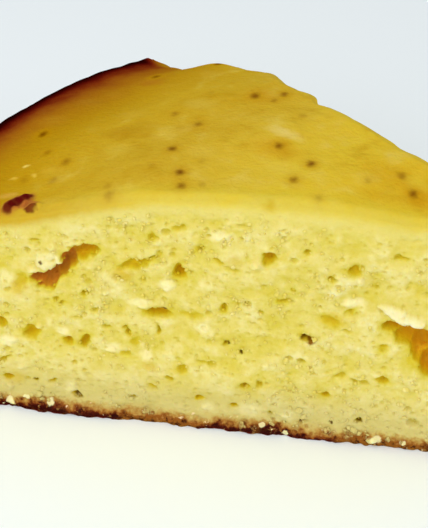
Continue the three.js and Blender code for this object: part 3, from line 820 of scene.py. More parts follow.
def cut_marks(place, marks, edge=(-0.3, 0.7), deep=7.0):
    """How strongly each mark of the near cut covers a place."""
    for along_mm, up, width, tall, strength in marks:
        inside = oval_of(place, (-along_mm, 0.0, up), (width, deep, tall))
        yield step_of(inside, *edge, 0, strength)


print("oval group:", len(OVAL.nodes), "nodes")

# %% [markdown]
# The skin is golden, and goes through amber and a red brown to nearly black at the rim, where the
# tin was hottest. It is thin, so at a cut the pale crumb shines through it. Noise mottles it: the
# darker mottles are its own uneven tone, and the paler ones partly that and partly a painted sheen.
# Wider patches, paler or darker, are placed as in the photo: most are its own tone, but the palest
# wide one and three small bright spots are painted highlights of sheen. Dark specks of burnt sugar
# sit in it, each with a faint orange ring, and the two blisters are painted in several ovals.

# %% Specks, patches and blisters in the skin
SPECKS = [  # distance from the tip, angle from the near cut, radius, strength
    (96.5, 19.0, 1.3, 1.0), (93.3, 38.4, 1.3, 0.95), (66.1, 15.1, 1.1, 0.9), (61.7, 8.0, 1.1, 1.0),
    (60.4, 3.9, 1.1, 0.75), (66.3, 24.5, 1.1, 0.6), (64.2, 37.7, 1.2, 0.95), (60.6, 41.7, 1.0, 0.8),
    (60.1, 38.6, 0.9, 0.5), (48.4, 23.2, 1.1, 0.85), (40.6, 19.3, 1.1, 0.95),
    (41.6, 10.3, 1.1, 0.75), (21.8, 23.0, 1.1, 0.95), (25.6, 30.1, 1.1, 0.6),
    (86.3, 45.4, 1.1, 1.0), (73.1, 26.4, 1.0, 0.45), (85.2, 11.4, 1.3, 0.55), (85.3, 7.3, 1.2, 0.4),
    (90.6, 13.8, 1.1, 0.45), (29.8, 19.4, 0.9, 0.3), (72.6, 1.4, 1.3, 0.4), (51.5, 37.2, 1.1, 0.3),
    (91.2, 7.7, 1.1, 0.3), (56.9, 4.9, 1.0, 0.25), (36.3, 3.9, 1.0, 0.3), (59.2, 12.7, 0.9, 0.2),
    (67.3, 9.0, 1.0, 0.2), (73.6, 3.6, 1.0, 0.25),
]
PATCHES = [  # distance, angle, length, width, strength and colour
    # The first patch on this line is a painted highlight: a pale sheen on the moist skin.
    (49.9, 28.5, 8, 3.5, 0.5, 228, 202, 108), (48.3, 21.9, 11, 7, 0.4, 204, 150, 16),
    (27.6, 27.5, 12, 9, 0.4, 204, 156, 18), (19.9, 22.8, 9, 7, 0.5, 206, 150, 14),
    (79.0, 19.4, 10, 6, 0.45, 180, 134, 12), (76.5, 21.7, 7, 5, 0.3, 184, 140, 14),
    (91.1, 36.3, 7, 5, 0.4, 176, 110, 22), (66.7, 22.9, 8, 5, 0.3, 196, 148, 22),
    (63.3, 39.0, 9, 6, 0.35, 196, 144, 18), (44.4, 0.0, 2.8, 2.6, 0.6, 200, 172, 44),
    (27.8, 13.3, 6, 4, 0.4, 206, 162, 24), (30.5, 6.5, 6, 4, 0.3, 208, 174, 34),
    (98.0, 22.5, 7, 5, 0.35, 180, 128, 26), (96.4, 28.4, 7, 4, 0.35, 172, 120, 26),
    (93.5, 31.3, 6, 4, 0.3, 178, 126, 24), (86.9, 9.7, 5, 4, 0.3, 212, 172, 48),
    (76.8, 14.5, 7, 5, 0.35, 214, 180, 56), (82.3, 25.4, 8, 5, 0.3, 206, 164, 42),
    (44.8, 14.6, 8, 6, 0.35, 222, 192, 68), (71.1, 30.6, 8, 5, 0.3, 210, 178, 64),
    (69.9, 19.5, 7, 5, 0.3, 216, 178, 58), (60.4, 15.6, 6, 5, 0.3, 220, 188, 68),
    (83.1, 2.0, 5, 3, 0.3, 218, 182, 56), (22.6, 30.9, 5, 4, 0.3, 214, 188, 52),
    # The first two patches on this line and the first on the next are painted highlights of sheen.
    (92.8, 10.7, 1.3, 1.3, 0.7, 238, 204, 90), (89.9, 8.7, 1.3, 1.3, 0.5, 232, 196, 70),
    (93.6, 8.2, 1.4, 1.4, 0.5, 230, 190, 66), (92.3, 4.4, 3.0, 2.2, 0.5, 218, 166, 66),
]
BLISTER_BURNT, BLISTER_BROWN, BLISTER_EDGE = srgb(88, 6, 6), srgb(110, 44, 12), srgb(178, 104, 42)
BLISTER_MARKS = [  # distance, angle, length, width, turn and colour
    (89.5, 2.4, 7.8, 5.0, 48, BLISTER_EDGE), (87.0, 1.6, 3.6, 3.6, 0, BLISTER_EDGE),
    (90.8, 1.5, 2.7, 3.4, 0, BLISTER_BURNT), (89.8, 2.2, 3.2, 3.8, 20, BLISTER_BURNT),
    (88.8, 2.8, 3.0, 3.0, 48, BLISTER_BURNT), (88.0, 3.4, 2.2, 2.4, 0, BLISTER_BURNT),
    (86.6, 0.8, 2.7, 1.6, 0, BLISTER_BROWN),
]
SPECK_COLOUR, SPECK_RING = srgb(124, 74, 0), srgb(190, 140, 4)
SPECK_SIZE = (1.75, 2.3625, 2.0)  # in radii: specks are longer across the slice than along it
SPECK_EDGE, SPECK_RING_EDGE, SPECK_RING_SHARE = (-0.4, 1.0), (-1.8, 0.2), 0.5
PATCH_EDGE, PATCH_SHARE, BLISTER_EDGE_STEP = (-0.4, 0.8), 1.4, (-0.15, 0.35, 0, 0.9)
MARK_DEEP = 6  # how far patches and blisters reach up and down through the skin
PATCH_RAG, SPECK_RAG, BLISTER_RAG = (2.0, 0.9), (1.1, 0.35), (1.5, 0.5)  # size and reach


def placed_marks(place, colour):
    """A colour with the patches, specks and blisters over it."""
    ragged = ragged_place(place, *PATCH_RAG)
    for away, degrees, length, width, strength, *shade in PATCHES:
        size = (length, width, MARK_DEEP)
        inside = oval_of(ragged, on_skin_at(away, degrees), size, -degrees)
        share = step_of(inside, *PATCH_EDGE, 0, PATCH_SHARE * strength)
        colour = painted(colour, (share, srgb(*shade)))
    ragged = ragged_place(place, *SPECK_RAG)
    for away, degrees, radius, strength in SPECKS:
        size = tuple(radius * s for s in SPECK_SIZE)
        inside = oval_of(ragged, on_skin_at(away, degrees), size)
        ring = step_of(inside, *SPECK_RING_EDGE, 0, SPECK_RING_SHARE * strength)
        speck = step_of(inside, *SPECK_EDGE, 0, strength)
        colour = painted(colour, (ring, SPECK_RING), (speck, SPECK_COLOUR))
    ragged = ragged_place(place, *BLISTER_RAG)
    for away, degrees, length, width, turn, shade in BLISTER_MARKS:
        size = (length, width, MARK_DEEP)
        inside = oval_of(ragged, on_skin_at(away, degrees), size, turn)
        colour = painted(colour, (step_of(inside, *BLISTER_EDGE_STEP), shade))
    return colour


print(len(SPECKS), "specks,", len(PATCHES), "patches,", len(BLISTER_MARKS), "blister marks")

# %% Colour of the skin
SKIN_STOPS = [  # distance from the tip and colour there
    (10, 214, 175, 32), (30, 218, 181, 40), (42, 218, 184, 44), (54, 213, 178, 46),
    (66, 204, 165, 37), (77, 201, 162, 33), (86, 201, 160, 27), (93, 192, 148, 17),
    (99, 183, 136, 14), (103, 174, 120, 16), (105.5, 162, 100, 16), (107, 146, 78, 16),
    (108.5, 124, 46, 12), (110, 92, 16, 6), (111.5, 50, 3, 1), (113, 26, 2, 1),
]
WIDENS_STEP = (2, 56, 0, 8)  # away from the near cut the browning reaches further in
WIDENS_HELD = (90, 110, 1.25, 0.3)  # but hardly at the rim itself
FAR_EDGE_STEP = (6, 0, 0, -9)  # at the far cut the browning draws back
BROWNING_LUMPS = (6, 0.7)  # size and strength, as below
SKIN_PALE, SKIN_DEEP = srgb(222, 193, 78), srgb(190, 145, 12)
SKIN_MOTTLE = [(11, 0.45), (4.4, 0.45, 1.0), (1.3, 0.12)]
MOTTLE_MOST, MOTTLED_AREA = 0.85, (98, 82)
SKIN_EDGE, SKIN_LIP, SKIN_LIP_BAKED = srgb(216, 190, 49), srgb(209, 191, 84), srgb(194, 163, 46)
THIN_LUMPS = (5, 0.8)
EDGE_STEP, EDGE_AREA = (6.5, 0), (90, 60, 0.1, 0.9)
LIP_STEP, LIP_AREA, LIP_BAKED_STEP = (3.4, -1.6), (104, 90), (58, 88)
SKIN_GRAIN, SKIN_WRINKLES, SKIN_ROUGH = (0.8, 2, 0.5), (2.4, 0.4), (-1, 1, 0.8, 0.6)


def skin_look():
    group, given = new_group(
        "Skin look", ("Place", "Away", "From near", "From far"), ("Colour", "Bump", "Roughness")
    )
    place, from_near = given["Place"], given["From near"]
    widened = step_of(from_near, *WIDENS_STEP)
    held = step_of(given["Away"], *WIDENS_HELD)
    away = plus(
        given["Away"], spread(place, *BROWNING_LUMPS), times(widened, held),
        step_of(given["From far"], *FAR_EDGE_STEP),
    )
    mottle = plus(*(spread(place, *mottle) for mottle in SKIN_MOTTLE))
    middle = step_of(away, *MOTTLED_AREA)
    # The pale mottles are partly a painted sheen.
    pale = times(middle, step_of(mottle, 0, 1, 0, MOTTLE_MOST))
    deep = times(middle, step_of(mottle, 0, -1, 0, MOTTLE_MOST))
    thin = plus(from_near, spread(place, *THIN_LUMPS))
    edge = times(step_of(thin, *EDGE_STEP), step_of(away, *EDGE_AREA))
    lip = times(step_of(thin, *LIP_STEP), step_of(away, *LIP_AREA))
    baked = step_of(away, *LIP_BAKED_STEP)
    colour = painted(
        ramp_of(away, SKIN_STOPS), (pale, SKIN_PALE), (deep, SKIN_DEEP),
        (edge, SKIN_EDGE), (lip, painted(SKIN_LIP, (baked, SKIN_LIP_BAKED))),
    )
    wrinkles = spread(place, *SKIN_WRINKLES)
    node("NodeGroupOutput", {
        "Colour": placed_marks(place, colour),
        "Bump": plus(noise_of(place, *SKIN_GRAIN), wrinkles),
        "Roughness": step_of(mottle, *SKIN_ROUGH),
    })
    return group


# %% [markdown]
# The wall and the base were baked against the tin. They are brown, with nearly black streaks and
# tan flecks where crumb shows through. At the foot of a cut the crust shows edge on: nearly black
# below, where it touched the tin, then brown, then tan where it goes over into crumb. It is far
# from even: it runs from burnt to amber and back within a centimetre, and broken crumbs of both
# kinds lie over it. Where the photo shows its dark band thinner, thicker or amber, the foot of the
# near cut follows it. These stretches are marks like the ones above: along, up, width, height and
# strength, and for the band the strength is how many mm thinner it is.

# %% Colour of the crust
CRUST_DARK, CRUST_TAN = srgb(84, 26, 8), srgb(206, 156, 82)
CRUST_STOPS = [  # height in mm and colour there, on the wall
    (0.5, 112, 56, 18), (5, 152, 92, 34), (16, 176, 118, 46), (27, 164, 100, 34), (33, 128, 62, 18),
    (37, 84, 26, 8),
]
CRUST_AMBER, CRUST_BURNT, CRUST_CREAM = srgb(150, 92, 28), srgb(50, 8, 3), srgb(236, 212, 160)
CRUST_EDGE_STOPS = [  # height in mm and colour there
    (0.5, 54, 9, 3), (1.0, 72, 18, 5), (1.35, 104, 42, 12), (1.7, 140, 82, 28),
    (2.05, 164, 114, 48), (2.45, 180, 142, 68), (2.9, 192, 164, 88), (3.4, 202, 182, 106),
]
CRUST_LUMPS = [(1.8, 0.75, 3), (0.8, 0.45)]
BAKED_LUMPS = (11.0, 5.0, 3)
STREAK_NOISE, STREAK_STEP = (2.6, 4, 0.65), (0.48, 0.66, 0, 0.6)
FLECK_NOISE, FLECK_STEP, BURNT_STEP = (1.0, 3, 0.6), (0.58, 0.68, 0, 0.35), (0.47, 0.37, 0, 0.85)
AMBER_NOISE, AMBER_STEP = (6.0, 2), (0.54, 0.66, 0, 0.7)
BROKEN_NOISE, BROKEN_STEP = (1.3, 2, 0.6), (0.67, 0.73, 0, 0.9)
EDGE_ON_UP, EDGE_ON_DEEP, LOWEST_STEP = (8, 5), (1.6, 0.8), (2.2, 1.2)
CRUST_GRAIN = (0.7, 4, 0.65)
AMBER_STRETCHES, AMBER_EDGE = [(64, 0, 13, 20, 0.8), (20, 0, 18, 20, 0.8)], (-0.1, 0.2)
THIN_STRETCHES = [
    (84.5, 0, 8, 20, -0.6), (67.5, 0, 7, 20, 0.55), (54.5, 0, 5, 20, 0.6),
    (42.0, 0, 6, 20, -0.7), (32.0, 0, 11, 20, 0.6),
]
THIN_EDGE, STRETCH_DEEP = (-0.3, 0.5), 20


def crust_look():
    group, given = new_group("Crust look", ("Place", "Up", "From cut"), ("Colour", "Bump"))
    place = given["Place"]
    streak = noise_of(place, *STREAK_NOISE)
    fleck = noise_of(place, *FLECK_NOISE)
    height = plus(
        given["Up"], *(spread(place, *lumps) for lumps in CRUST_LUMPS),
        *cut_marks(place, THIN_STRETCHES, THIN_EDGE, STRETCH_DEEP),
    )
    baked = plus(height, spread(place, *BAKED_LUMPS))
    low = step_of(given["Up"], *EDGE_ON_UP)
    lowest = step_of(height, *LOWEST_STEP)
    at_cut = times(low, step_of(given["From cut"], *EDGE_ON_DEEP))
    amber = largest(
        step_of(noise_of(place, *AMBER_NOISE), *AMBER_STEP),
        *cut_marks(place, AMBER_STRETCHES, AMBER_EDGE, STRETCH_DEEP),
    )
    edge_on = painted(
        ramp_of(height, CRUST_EDGE_STOPS),
        (times(amber, lowest), CRUST_AMBER),
        (times(lowest, step_of(fleck, *BURNT_STEP)), CRUST_BURNT),
    )
    broken = step_of(noise_of(place, *BROKEN_NOISE), *BROKEN_STEP)
    colour = painted(
        ramp_of(baked, CRUST_STOPS),
        (step_of(streak, *STREAK_STEP), CRUST_DARK),
        (at_cut, edge_on),
        (step_of(fleck, *FLECK_STEP), CRUST_TAN),
        (times(broken, at_cut), CRUST_CREAM),
    )
    bump = noise_of(place, *CRUST_GRAIN)
    node("NodeGroupOutput", {"Colour": colour, "Bump": bump})
    return group


# %% [markdown]
# One material holds the three looks. It reads the object's own coordinates, turned into mm from
# the tip, and the depths that were stored on the mesh. The skin is about a millimetre thick and has
# no sharp lower side, so one soft step parts it from the crumb. A little subsurface scattering lets
# light soak in, as it does in any moist sponge: without it crumb looks like plaster. The skin also
# has a very faint coat, which keeps clear of the dark rim.
#
# Marks on the near cut are placed one by one, as in the photo: lumps of cream crumb, partly paler
# crumb and partly a painted highlight, and of golden crumb, partly painted shade like the colour of
# the hollows; small pores that show as dark dots, a painted shade where the light finds no way out;
# a dark brown dot over a deep narrow hollow; painted shade on the brown floor of the largest
# hollow; and pale crumbs that lie on the crust of the foot.

# %% Marks on the near cut
# Cream lumps: partly paler crumb, partly a painted highlight.
CREAM_BITS = [  # along, up, width, height and strength, here and below
    (91.9, 16.1, 3.8, 3.2, 0.8), (52.6, 44.2, 5.6, 2.4, 0.75), (28.2, 32.9, 4.6, 2.4, 0.75),
    (32.1, 34.7, 2.8, 2.6, 0.75), (61.9, 32.8, 3.4, 2.8, 0.8), (66.9, 28.1, 5.6, 1.8, 0.7),
    (55.2, 24.0, 3.2, 2.2, 0.7), (81.3, 19.7, 2.6, 2.4, 0.8), (71.7, 17.0, 3.2, 2.6, 0.7),
    (65.4, 16.1, 3.0, 2.6, 0.7), (45.6, 5.5, 4.8, 4.2, 0.45), (80.0, 6.1, 2.6, 3.8, 0.5),
    (53.6, 5.0, 3.4, 2.6, 0.45), (38.2, 5.3, 2.8, 2.4, 0.45), (91.5, 31.4, 3.2, 2.4, 0.5),
]
# Golden crumb: partly its own colour, partly painted shade.
GOLD_BITS = [
    (69.9, 33.8, 4.4, 2.8, 0.8), (89.0, 29.3, 3.6, 4.2, 0.6), (50.0, 39.6, 3.4, 3.4, 0.4),
    (31.6, 28.3, 5.6, 3.2, 0.5), (90.6, 7.4, 3.8, 3.2, 0.5), (64.7, 13.6, 3.6, 2.6, 0.5),
]
FOOT_CRUMBS = [
    (91.9, 1.7, 1.9, 2.2, 0.9), (88.7, 3.1, 1.3, 1.3, 0.9), (84.0, 2.3, 1.3, 1.7, 0.9),
    (43.0, 2.2, 1.4, 1.1, 0.8), (38.5, 0.8, 1.4, 1.2, 0.9), (21.3, 1.6, 2.3, 2.0, 0.9),
    (16.2, 1.7, 1.4, 1.3, 0.9),
]
# A dark brown dot, painted over a deep narrow hollow.
DARK_BROWN_BITS = [(36.3, 24.1, 1.9, 1.4, 0.95), (35.2, 23.5, 1.7, 1.5, 0.95)]
# Painted shade: dark dots in small pores, where the light finds no way out.
PORE_SHADE_DOTS = [
    (50.4, 21.0, 0.9, 0.9, 0.9), (86.8, 7.2, 0.9, 0.8, 0.9), (78.6, 4.3, 1.8, 1.2, 0.9),
    (84.8, 35.2, 0.8, 0.9, 0.9), (29.9, 4.4, 0.8, 0.9, 0.9), (35.4, 3.4, 1.0, 1.0, 0.9),
    (24.8, 5.4, 1.4, 0.8, 0.9), (47.8, 19.1, 0.6, 0.6, 0.9), (62.4, 27.3, 1.3, 0.8, 0.9),
]
# Painted shade: the brown floor of the largest hollow.
PAINTED_SHADE_FLOOR = [
    (85.6, 31.2, 5.2, 5.2, 1), (83.6, 31.6, 5.4, 5.4, 1), (81.6, 34.2, 4.4, 4.4, 1),
    (80.2, 36.0, 3.4, 3.4, 1),
]
# The floor colour here is painted shade, for the largest hollow.
CREAM, GOLD, PAINTED_SHADE_FLOOR_COLOUR = srgb(240, 229, 168), srgb(206, 174, 40), srgb(194, 122, 34)
# The pore colour is painted shade.
PORE_SHADE_COLOUR, DARK_BROWN_BIT_COLOUR = srgb(92, 60, 12), srgb(130, 78, 2)
SPECK_SHARP, CRUMB_SHARP = (-0.4, 0.6), (-0.1, 0.3)
PAINTED_SHADE_FLOOR_EDGE, PAINTED_SHADE_FLOOR_DEEP = (-0.4, 0.5), 20
NOT_IN_PORES, ONLY_IN_HOLLOWS = (0.7, 0.2), (0.8, 1.7)  # steps over the dip
WIDE_RAG, FINE_RAG = (1.5, 0.7), (0.8, 0.35)  # size and reach


def cut_colour(place, dipped, colour):
    """The colour of crumb with the marks of the near cut over it."""
    wide, fine = (ragged_place(place, *rag) for rag in (WIDE_RAG, FINE_RAG))
    cream = largest(*cut_marks(wide, CREAM_BITS))
    # The floor here is the painted shade of the largest hollow.
    floor = cut_marks(place, PAINTED_SHADE_FLOOR, PAINTED_SHADE_FLOOR_EDGE, PAINTED_SHADE_FLOOR_DEEP)
    floor = times(largest(*floor), step_of(dipped, *ONLY_IN_HOLLOWS))
    return painted(
        colour,
        (largest(*cut_marks(wide, GOLD_BITS)), GOLD),
        (times(cream, step_of(dipped, *NOT_IN_PORES)), CREAM),
        (largest(*cut_marks(fine, PORE_SHADE_DOTS, SPECK_SHARP)), PORE_SHADE_COLOUR),
        (largest(*cut_marks(fine, DARK_BROWN_BITS, SPECK_SHARP)), DARK_BROWN_BIT_COLOUR),
        (floor, PAINTED_SHADE_FLOOR_COLOUR),
    )


print(len(CREAM_BITS + GOLD_BITS + FOOT_CRUMBS + DARK_BROWN_BITS + PORE_SHADE_DOTS), "marks on the near cut")

# %% The cake's material
CRUMB_LOOK, SKIN_LOOK, CRUST_LOOK = crumb_look(), skin_look(), crust_look()
BUMP_DEPTH, BUMP_STRENGTH = 0.00022, 0.8
SOAK_RADIUS, SOAK_SCALE, SOAK_WEIGHT = (1.0, 0.66, 0.24), 0.0024, 0.45
SHEEN_STEP, SHEEN_ROUGH, CRUMB_ROUGH = (98, 80, 0.0, 0.08), 0.5, 0.9
SKIN_WANDER, SKIN_THIN_STEP, SKIN_THICK = (3.0, 0.3), (60, 84, 0.0, 0.5), 2.4
CRUST_WANDER, WALL_WANDER = [(2.4, 0.45, 3), (0.9, 0.6, 3)], 0.4
WALL_STEP, RIM_STEP = (1.3, 0.4), (0.5, 5.0)  # behind the wall, below the skin
CRUST_THICK, CRUST_STEP, CRUST_NOT_PROUD = 3.6, (0.5, -0.5), (-0.44, -0.3)


def new_material(name):
    """An empty material, its tree, and the place on the slice in mm from the tip."""
    material = bpy.data.materials.new(name)
    material.use_nodes = True
    tree = material.node_tree
    tree.nodes.clear()
    place = node(
        "ShaderNodeMapping",
        {
            "Vector": node("ShaderNodeTexCoord", {}, tree).outputs["Object"],
            "Location": [-c / MM for c in TIP], "Scale": (1 / MM,) * 3,
        },
    ).outputs[0]
    return material, tree, place


def stored(tree, name):
    """A field that is stored on the mesh."""
    return node("ShaderNodeAttribute", {}, tree, attribute_name=name).outputs["Fac"]


def shade(inputs):
    """Ends a material's tree with its shader. Cake has no sharp gloss."""
    shader = node("ShaderNodeBsdfPrincipled", {"Specular IOR Level": 0.0, **inputs})
    node("ShaderNodeOutputMaterial", {"Surface": shader.outputs[0]})


def cake_material():
    material, tree, place = new_material("baked_cake")
    skin_below, behind_rim = stored(tree, "skin_depth"), stored(tree, "rim_depth")
    dipped = stored(tree, "dip")
    x, y, up = node("ShaderNodeSeparateXYZ", {0: place}).outputs
    flat = node("ShaderNodeCombineXYZ", {0: x, 1: y}).outputs[0]
    away = vector_of("LENGTH", flat)
    from_far = vector_of("DOT_PRODUCT", flat, tuple(-FAR_NORMAL))

    crumb = group_of(
        CRUMB_LOOK, {"Place": place, "Dip": dipped, "Skin depth": skin_below, "Up": up}
    )
    skin_part = group_of(
        SKIN_LOOK, {"Place": place, "Away": away, "From near": y, "From far": from_far}
    )
    from_cut = smallest(y, from_far)
    crust = group_of(CRUST_LOOK, {"Place": place, "Up": up, "From cut": from_cut})
    crumb_colour = cut_colour(place, dipped, crumb["Colour"])

    wander = plus(*(spread(place, *lumps) for lumps in CRUST_WANDER))
    is_wall = step_of(plus(behind_rim, times(wander, WALL_WANDER)), *WALL_STEP)
    under = plus(skin_below, spread(place, *SKIN_WANDER))
    under = minus(under, step_of(away, *SKIN_THIN_STEP))
    is_crumb = times(step_of(under, 0, SKIN_THICK), step_of(is_wall, 1, 0))
    is_base = step_of(minus(plus(up, wander), CRUST_THICK), *CRUST_STEP)
    is_crust = largest(is_base, times(is_wall, step_of(skin_below, *RIM_STEP)))
    is_crust = times(is_crust, step_of(dipped, *CRUST_NOT_PROUD))
    foot_crumbs = cut_marks(ragged_place(place, *FINE_RAG), FOOT_CRUMBS, CRUMB_SHARP)
    colour = painted(
        skin_part["Colour"],
        (is_crumb, crumb_colour), (is_crust, crust["Colour"]), (largest(*foot_crumbs), CREAM),
    )

    bumps = {0: is_crumb, 2: skin_part["Bump"], 3: crumb["Bump"]}
    roughness = {0: is_crumb, 2: skin_part["Roughness"], 3: CRUMB_ROUGH}
    height, rough = (node("ShaderNodeMix", inputs).outputs[0] for inputs in (bumps, roughness))
    bump = node(
        "ShaderNodeBump", {"Height": height, "Distance": BUMP_DEPTH, "Strength": BUMP_STRENGTH}
    )
    shade({
        "Base Color": colour, "Roughness": rough, "Normal": bump.outputs[0],
        "Coat Weight": step_of(away, *SHEEN_STEP), "Coat Roughness": SHEEN_ROUGH,
        "Subsurface Weight": SOAK_WEIGHT, "Subsurface Radius": SOAK_RADIUS,
        "Subsurface Scale": SOAK_SCALE,
    })
    return material


CAKE = cake_material()
cake.data.materials.clear()
cake.data.materials.append(CAKE)
print("material:", CAKE.name, "with", len(CAKE.node_tree.nodes), "nodes")

# %% [markdown]
# A knife leaves grains of crumb all over a cut, and coarser ones of crumb and crust along the foot.
# Geometry Nodes suits them, as they repeat. One tree makes both kinds: it scatters points over the
# slice where a field allows it, puts a small ball on each, gives every ball its own turn and
# proportions, and then pushes its points about, so that no two grains are alike. Each grain is half
# sunk in the crumb. The field is stored on the slice's mesh, like the ones that the material reads.

# %% Fields that say where grains lie
NEAR_A_CUT = 1.2
CLEAR_OF_BASE, CLEAR_OF_SKIN, CLEAR_OF_RIM = 1.2, 3.0, 1.5
CLUMP_MEAN, CLUMPS, CLUMP_SALT = 0.35, [(5.0, 0.9), (1.6, 0.5)], 801  # cell and strength
COARSE_STEP, COARSE_STRAYS = (7.0, 2.0), 0.04  # mm above the base, and how many lie higher


def read(data, name, width=1):
    values = np.zeros(len(data) * width, np.float32 if width == 1 else float)
    data.foreach_get(name, values)
    return values.reshape(-1, width).squeeze()


fields = cake.data.attributes
spots = (read(cake.data.vertices, "co", 3) - np.array(TIP)) / MM
open_crumb = (np.abs(spots[:, 1]) < NEAR_A_CUT) | (np.abs(spots @ FAR_NORMAL) < NEAR_A_CUT)
open_crumb &= read(fields["skin_depth"].data, "value") > CLEAR_OF_SKIN
open_crumb &= read(fields["rim_depth"].data, "value") > CLEAR_OF_RIM
open_crumb &= spots[:, 2] > CLEAR_OF_BASE
clumps = np.clip(CLUMP_MEAN + lumps_of(spots, CLUMPS, CLUMP_SALT), 0, 1)
near_foot = soft_step(*COARSE_STEP, spots[:, 2]) ** 2 + COARSE_STRAYS
store(cake.data, "fine_grains", open_crumb * clumps)
store(cake.data, "coarse_grains", open_crumb * clumps * near_foot)
print("points that may carry grains:", int(open_crumb.sum()))

# %% The tree that scatters grains
LUMPS_PER_METRE = 1900.0
ANY_TURN = (2 * math.pi,) * 3


def grain_tree():
    tree, given = new_group("Loose grains", (
        "Geometry", "Field", "Per square metre", "Smallest", "Largest", "Detail", "Unevenness",
        "Seed", "Material",
    ), ("Geometry",), "GeometryNodeTree")
    seed = given["Seed"]
    field = node(
        "GeometryNodeInputNamedAttribute", {"Name": given["Field"]}, data_type="FLOAT"
    ).outputs[0]
    density = times(field, given["Per square metre"])
    scatter = node(
        "GeometryNodeDistributePointsOnFaces",
        {"Mesh": given["Geometry"], "Density": density, "Seed": seed},
    )
    ball = node("GeometryNodeMeshIcoSphere", {"Radius": 0.5, "Subdivisions": given["Detail"]})
    scale, turn = (
        node(
            "FunctionNodeRandomValue", {0: least, 1: most, "Seed": seed},
            data_type="FLOAT_VECTOR",
        ).outputs[0]
        for least, most in ((given["Smallest"], given["Largest"]), ((0, 0, 0), ANY_TURN))
    )
    geometry = node(
        "GeometryNodeInstanceOnPoints",
        {
            "Points": scatter.outputs["Points"], "Instance": ball.outputs["Mesh"],
            "Rotation": turn, "Scale": scale,
        },
    ).outputs[0]
    lumps = node("ShaderNodeTexNoise", {"Scale": LUMPS_PER_METRE, "Detail": 0.0}, tree)
    push = vector_of("SUBTRACT", lumps.outputs["Color"], (0.5, 0.5, 0.5))
    push = vector_of("MULTIPLY", push, given["Unevenness"])
    for kind, inputs in (
        ("RealizeInstances", {}), ("SetPosition", {"Offset": push}), ("SetShadeSmooth", {}),
        ("SetMaterial", {"Material": given["Material"]}),
    ):
        geometry = node("GeometryNode" + kind, {"Geometry": geometry, **inputs}).outputs[0]
    node("NodeGroupOutput", {0: geometry})
    return tree


GRAIN_TREE = grain_tree()
print("grain tree:", len(GRAIN_TREE.nodes), "nodes")

# %% [markdown]
# The grains use the crumb's own colours. Those near the foot are partly crust: brown, amber or
# burnt, which noise decides.

# %% The grains' material
GRAIN_DIP, GRAIN_MOTTLE, GRAIN_SKIN_DEPTH = 0.6, (1.2, 0.3), 20.0
GRAIN_FROM_CUT, CRUSTY_LUMPS, CRUSTY_STEP = 5.0, (1.0, 1.2), (3.4, 1.2)


def grain_material():
    material, tree, place = new_material("loose_crumb")
    up = node("ShaderNodeSeparateXYZ", {0: place}).outputs[2]
    dip_here = times(stored(tree, "dip"), GRAIN_DIP)
    dip_here = plus(dip_here, spread(place, *GRAIN_MOTTLE))
    crumb = group_of(
        CRUMB_LOOK,
        {"Place": place, "Dip": dip_here, "Skin depth": GRAIN_SKIN_DEPTH, "Up": up},
    )
    crust = group_of(CRUST_LOOK, {"Place": place, "Up": up, "From cut": GRAIN_FROM_CUT})
    crusty = step_of(plus(up, spread(place, *CRUSTY_LUMPS)), *CRUSTY_STEP)
    colour = painted(crumb["Colour"], (crusty, crust["Colour"]))
    shade({"Base Color": colour, "Roughness": CRUMB_ROUGH})
    return material


GRAIN_MATERIAL = grain_material()
print("material:", GRAIN_MATERIAL.name, "with", len(GRAIN_MATERIAL.node_tree.nodes), "nodes")

# %% [markdown]
# The same tree runs twice, with other inputs. An input of a modifier is set by its socket's own
# identifier, which is looked up by name first. The result is turned into a plain mesh.

# %% Scatter the grains
FINE_GRAINS = {
    "Field": "fine_grains", "Per square metre": 400000.0, "Smallest": 0.0003, "Largest": 0.0009,
    "Detail": 2, "Unevenness": 0.0004, "Seed": 7,
}
COARSE_GRAINS = {
    "Field": "coarse_grains", "Per square metre": 200000.0, "Smallest": 0.0005, "Largest": 0.0015,
    "Detail": 3, "Unevenness": 0.0007, "Seed": 12,
}


def scattered_grains(name, inputs):
    grains = in_scene(name, cake.data)
    scatter = grains.modifiers.new("scatter", "NODES")
    scatter.node_group = GRAIN_TREE
    sockets = [item for item in GRAIN_TREE.interface.items_tree if item.in_out == "INPUT"]
    identifiers = {item.name: item.identifier for item in sockets}
    for label, value in {**inputs, "Material": GRAIN_MATERIAL}.items():
        scatter[identifiers[label]] = value
    settle_modifiers(grains)
    print(name + ":", len(grains.data.polygons), "faces")
    return grains


fine_grains = scattered_grains("fine_grains", FINE_GRAINS)
coarse_crumbs = scattered_grains("coarse_crumbs", COARSE_GRAINS)

# %% [markdown]
# The floor is a plain pale sheet, lit by one large soft lamp in front and above, a weaker one from
# the right and a pale sky.

# %% Floor and light
FLOOR_COLOUR, FLOOR_ROUGH = srgb(248, 254, 255), 0.6
FLOOR_HALF, FLOOR_BELOW = 2.0, 0.00005  # m; the floor lies a hair below the base
LAMPS = {  # azimuth, elevation, distance, size and power
    "key": (-25, 40, 0.9, 0.8, 4.9),
    "fill": (40, 30, 1.1, 0.9, 2.2),
}
LAMPS_LOOK_AT = Vector((0, 0, 0.025))
SKY_COLOUR, SKY_STRENGTH = (0.95, 0.975, 1.0, 1), 0.58


def make_floor():
    material = bpy.data.materials.new("pale_floor")
    material.use_nodes = True
    shader = material.node_tree.nodes["Principled BSDF"]
    shader.inputs["Base Color"].default_value = FLOOR_COLOUR
    shader.inputs["Roughness"].default_value = FLOOR_ROUGH
    mesh = bpy.data.meshes.new("floor")
    h = FLOOR_HALF
    mesh.from_pydata([(-h, -h, 0), (h, -h, 0), (h, h, 0), (-h, h, 0)], [], [(0, 1, 2, 3)])
    mesh.materials.append(material)
    floor = in_scene("floor", mesh)
    floor.location.z = -FLOOR_BELOW
    return floor


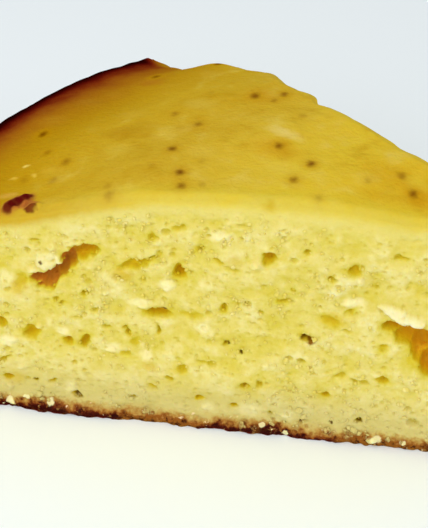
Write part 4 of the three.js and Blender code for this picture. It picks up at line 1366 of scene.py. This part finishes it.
def seen_from(azimuth, elevation):
    """The direction from the slice to something that looks at it, and the turn it needs."""
    a, e = math.radians(azimuth), math.radians(elevation)
    back = Vector((math.sin(a) * math.cos(e), -math.cos(a) * math.cos(e), math.sin(e)))
    return back, back.to_track_quat("Z", "Y")


def area_lamp(name, azimuth, elevation, distance, size, power):
    """A square lamp that looks at the slice from an azimuth and an elevation."""
    data = bpy.data.lights.new(name, "AREA")
    data.shape, data.size, data.energy = "SQUARE", size, power
    back, turn = seen_from(azimuth, elevation)
    lamp = in_scene(name, data)
    lamp.location, lamp.rotation_euler = LAMPS_LOOK_AT + back * distance, turn.to_euler()


floor = make_floor()
for name, settings in LAMPS.items():
    area_lamp(name, *settings)
world = bpy.data.worlds.new("pale_room")
world.use_nodes = True
sky = world.node_tree.nodes["Background"].inputs
sky["Color"].default_value, sky["Strength"].default_value = SKY_COLOUR, SKY_STRENGTH
bpy.context.scene.world = world
bpy.context.scene.view_settings.view_transform = "Standard"
print("lamps and floor are set")

# %% [markdown]
# The camera stands where the photo was taken from: close in front of the near cut, a little to
# the right, looking down. Its place is given by the point it looks at, in mm from the tip, and by
# the distance and the angles from there.

# %% Camera
LOOK_AT = Vector((-55.5, 20.0, 24.2))  # mm from the tip
VIEW_DISTANCE, VIEW_AZIMUTH, VIEW_ELEVATION, VIEW_ROLL = 272.0, 5.6, 35.3, 2.5
FOCAL_PIXELS, FRAME_HEIGHT, SENSOR, CLIP_START = 1400.0, 528, 36.0, 0.01


def make_camera():
    data = bpy.data.cameras.new("photo_view")
    data.sensor_fit, data.sensor_height, data.sensor_width = "VERTICAL", SENSOR, SENSOR
    data.lens = SENSOR * FOCAL_PIXELS / FRAME_HEIGHT
    data.clip_start = CLIP_START
    back, turn = seen_from(VIEW_AZIMUTH, VIEW_ELEVATION)
    turn = turn.to_matrix() @ Matrix.Rotation(math.radians(VIEW_ROLL), 3, "Z")
    stand = TIP + (LOOK_AT + back * VIEW_DISTANCE) * MM
    camera = in_scene("photo_view", data)
    camera.matrix_world = Matrix.Translation(stand) @ turn.to_4x4()
    bpy.context.scene.camera = camera
    return camera


camera = make_camera()
print("camera at", [round(c, 3) for c in camera.matrix_world.translation])

# %% [markdown]
# The dressed slice takes the place of the plain solid, which stays behind, hidden.

# %% Join the frame and finish
for piece in (cake, fine_grains, coarse_crumbs):
    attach(piece, "root")
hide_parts("cake_slice")
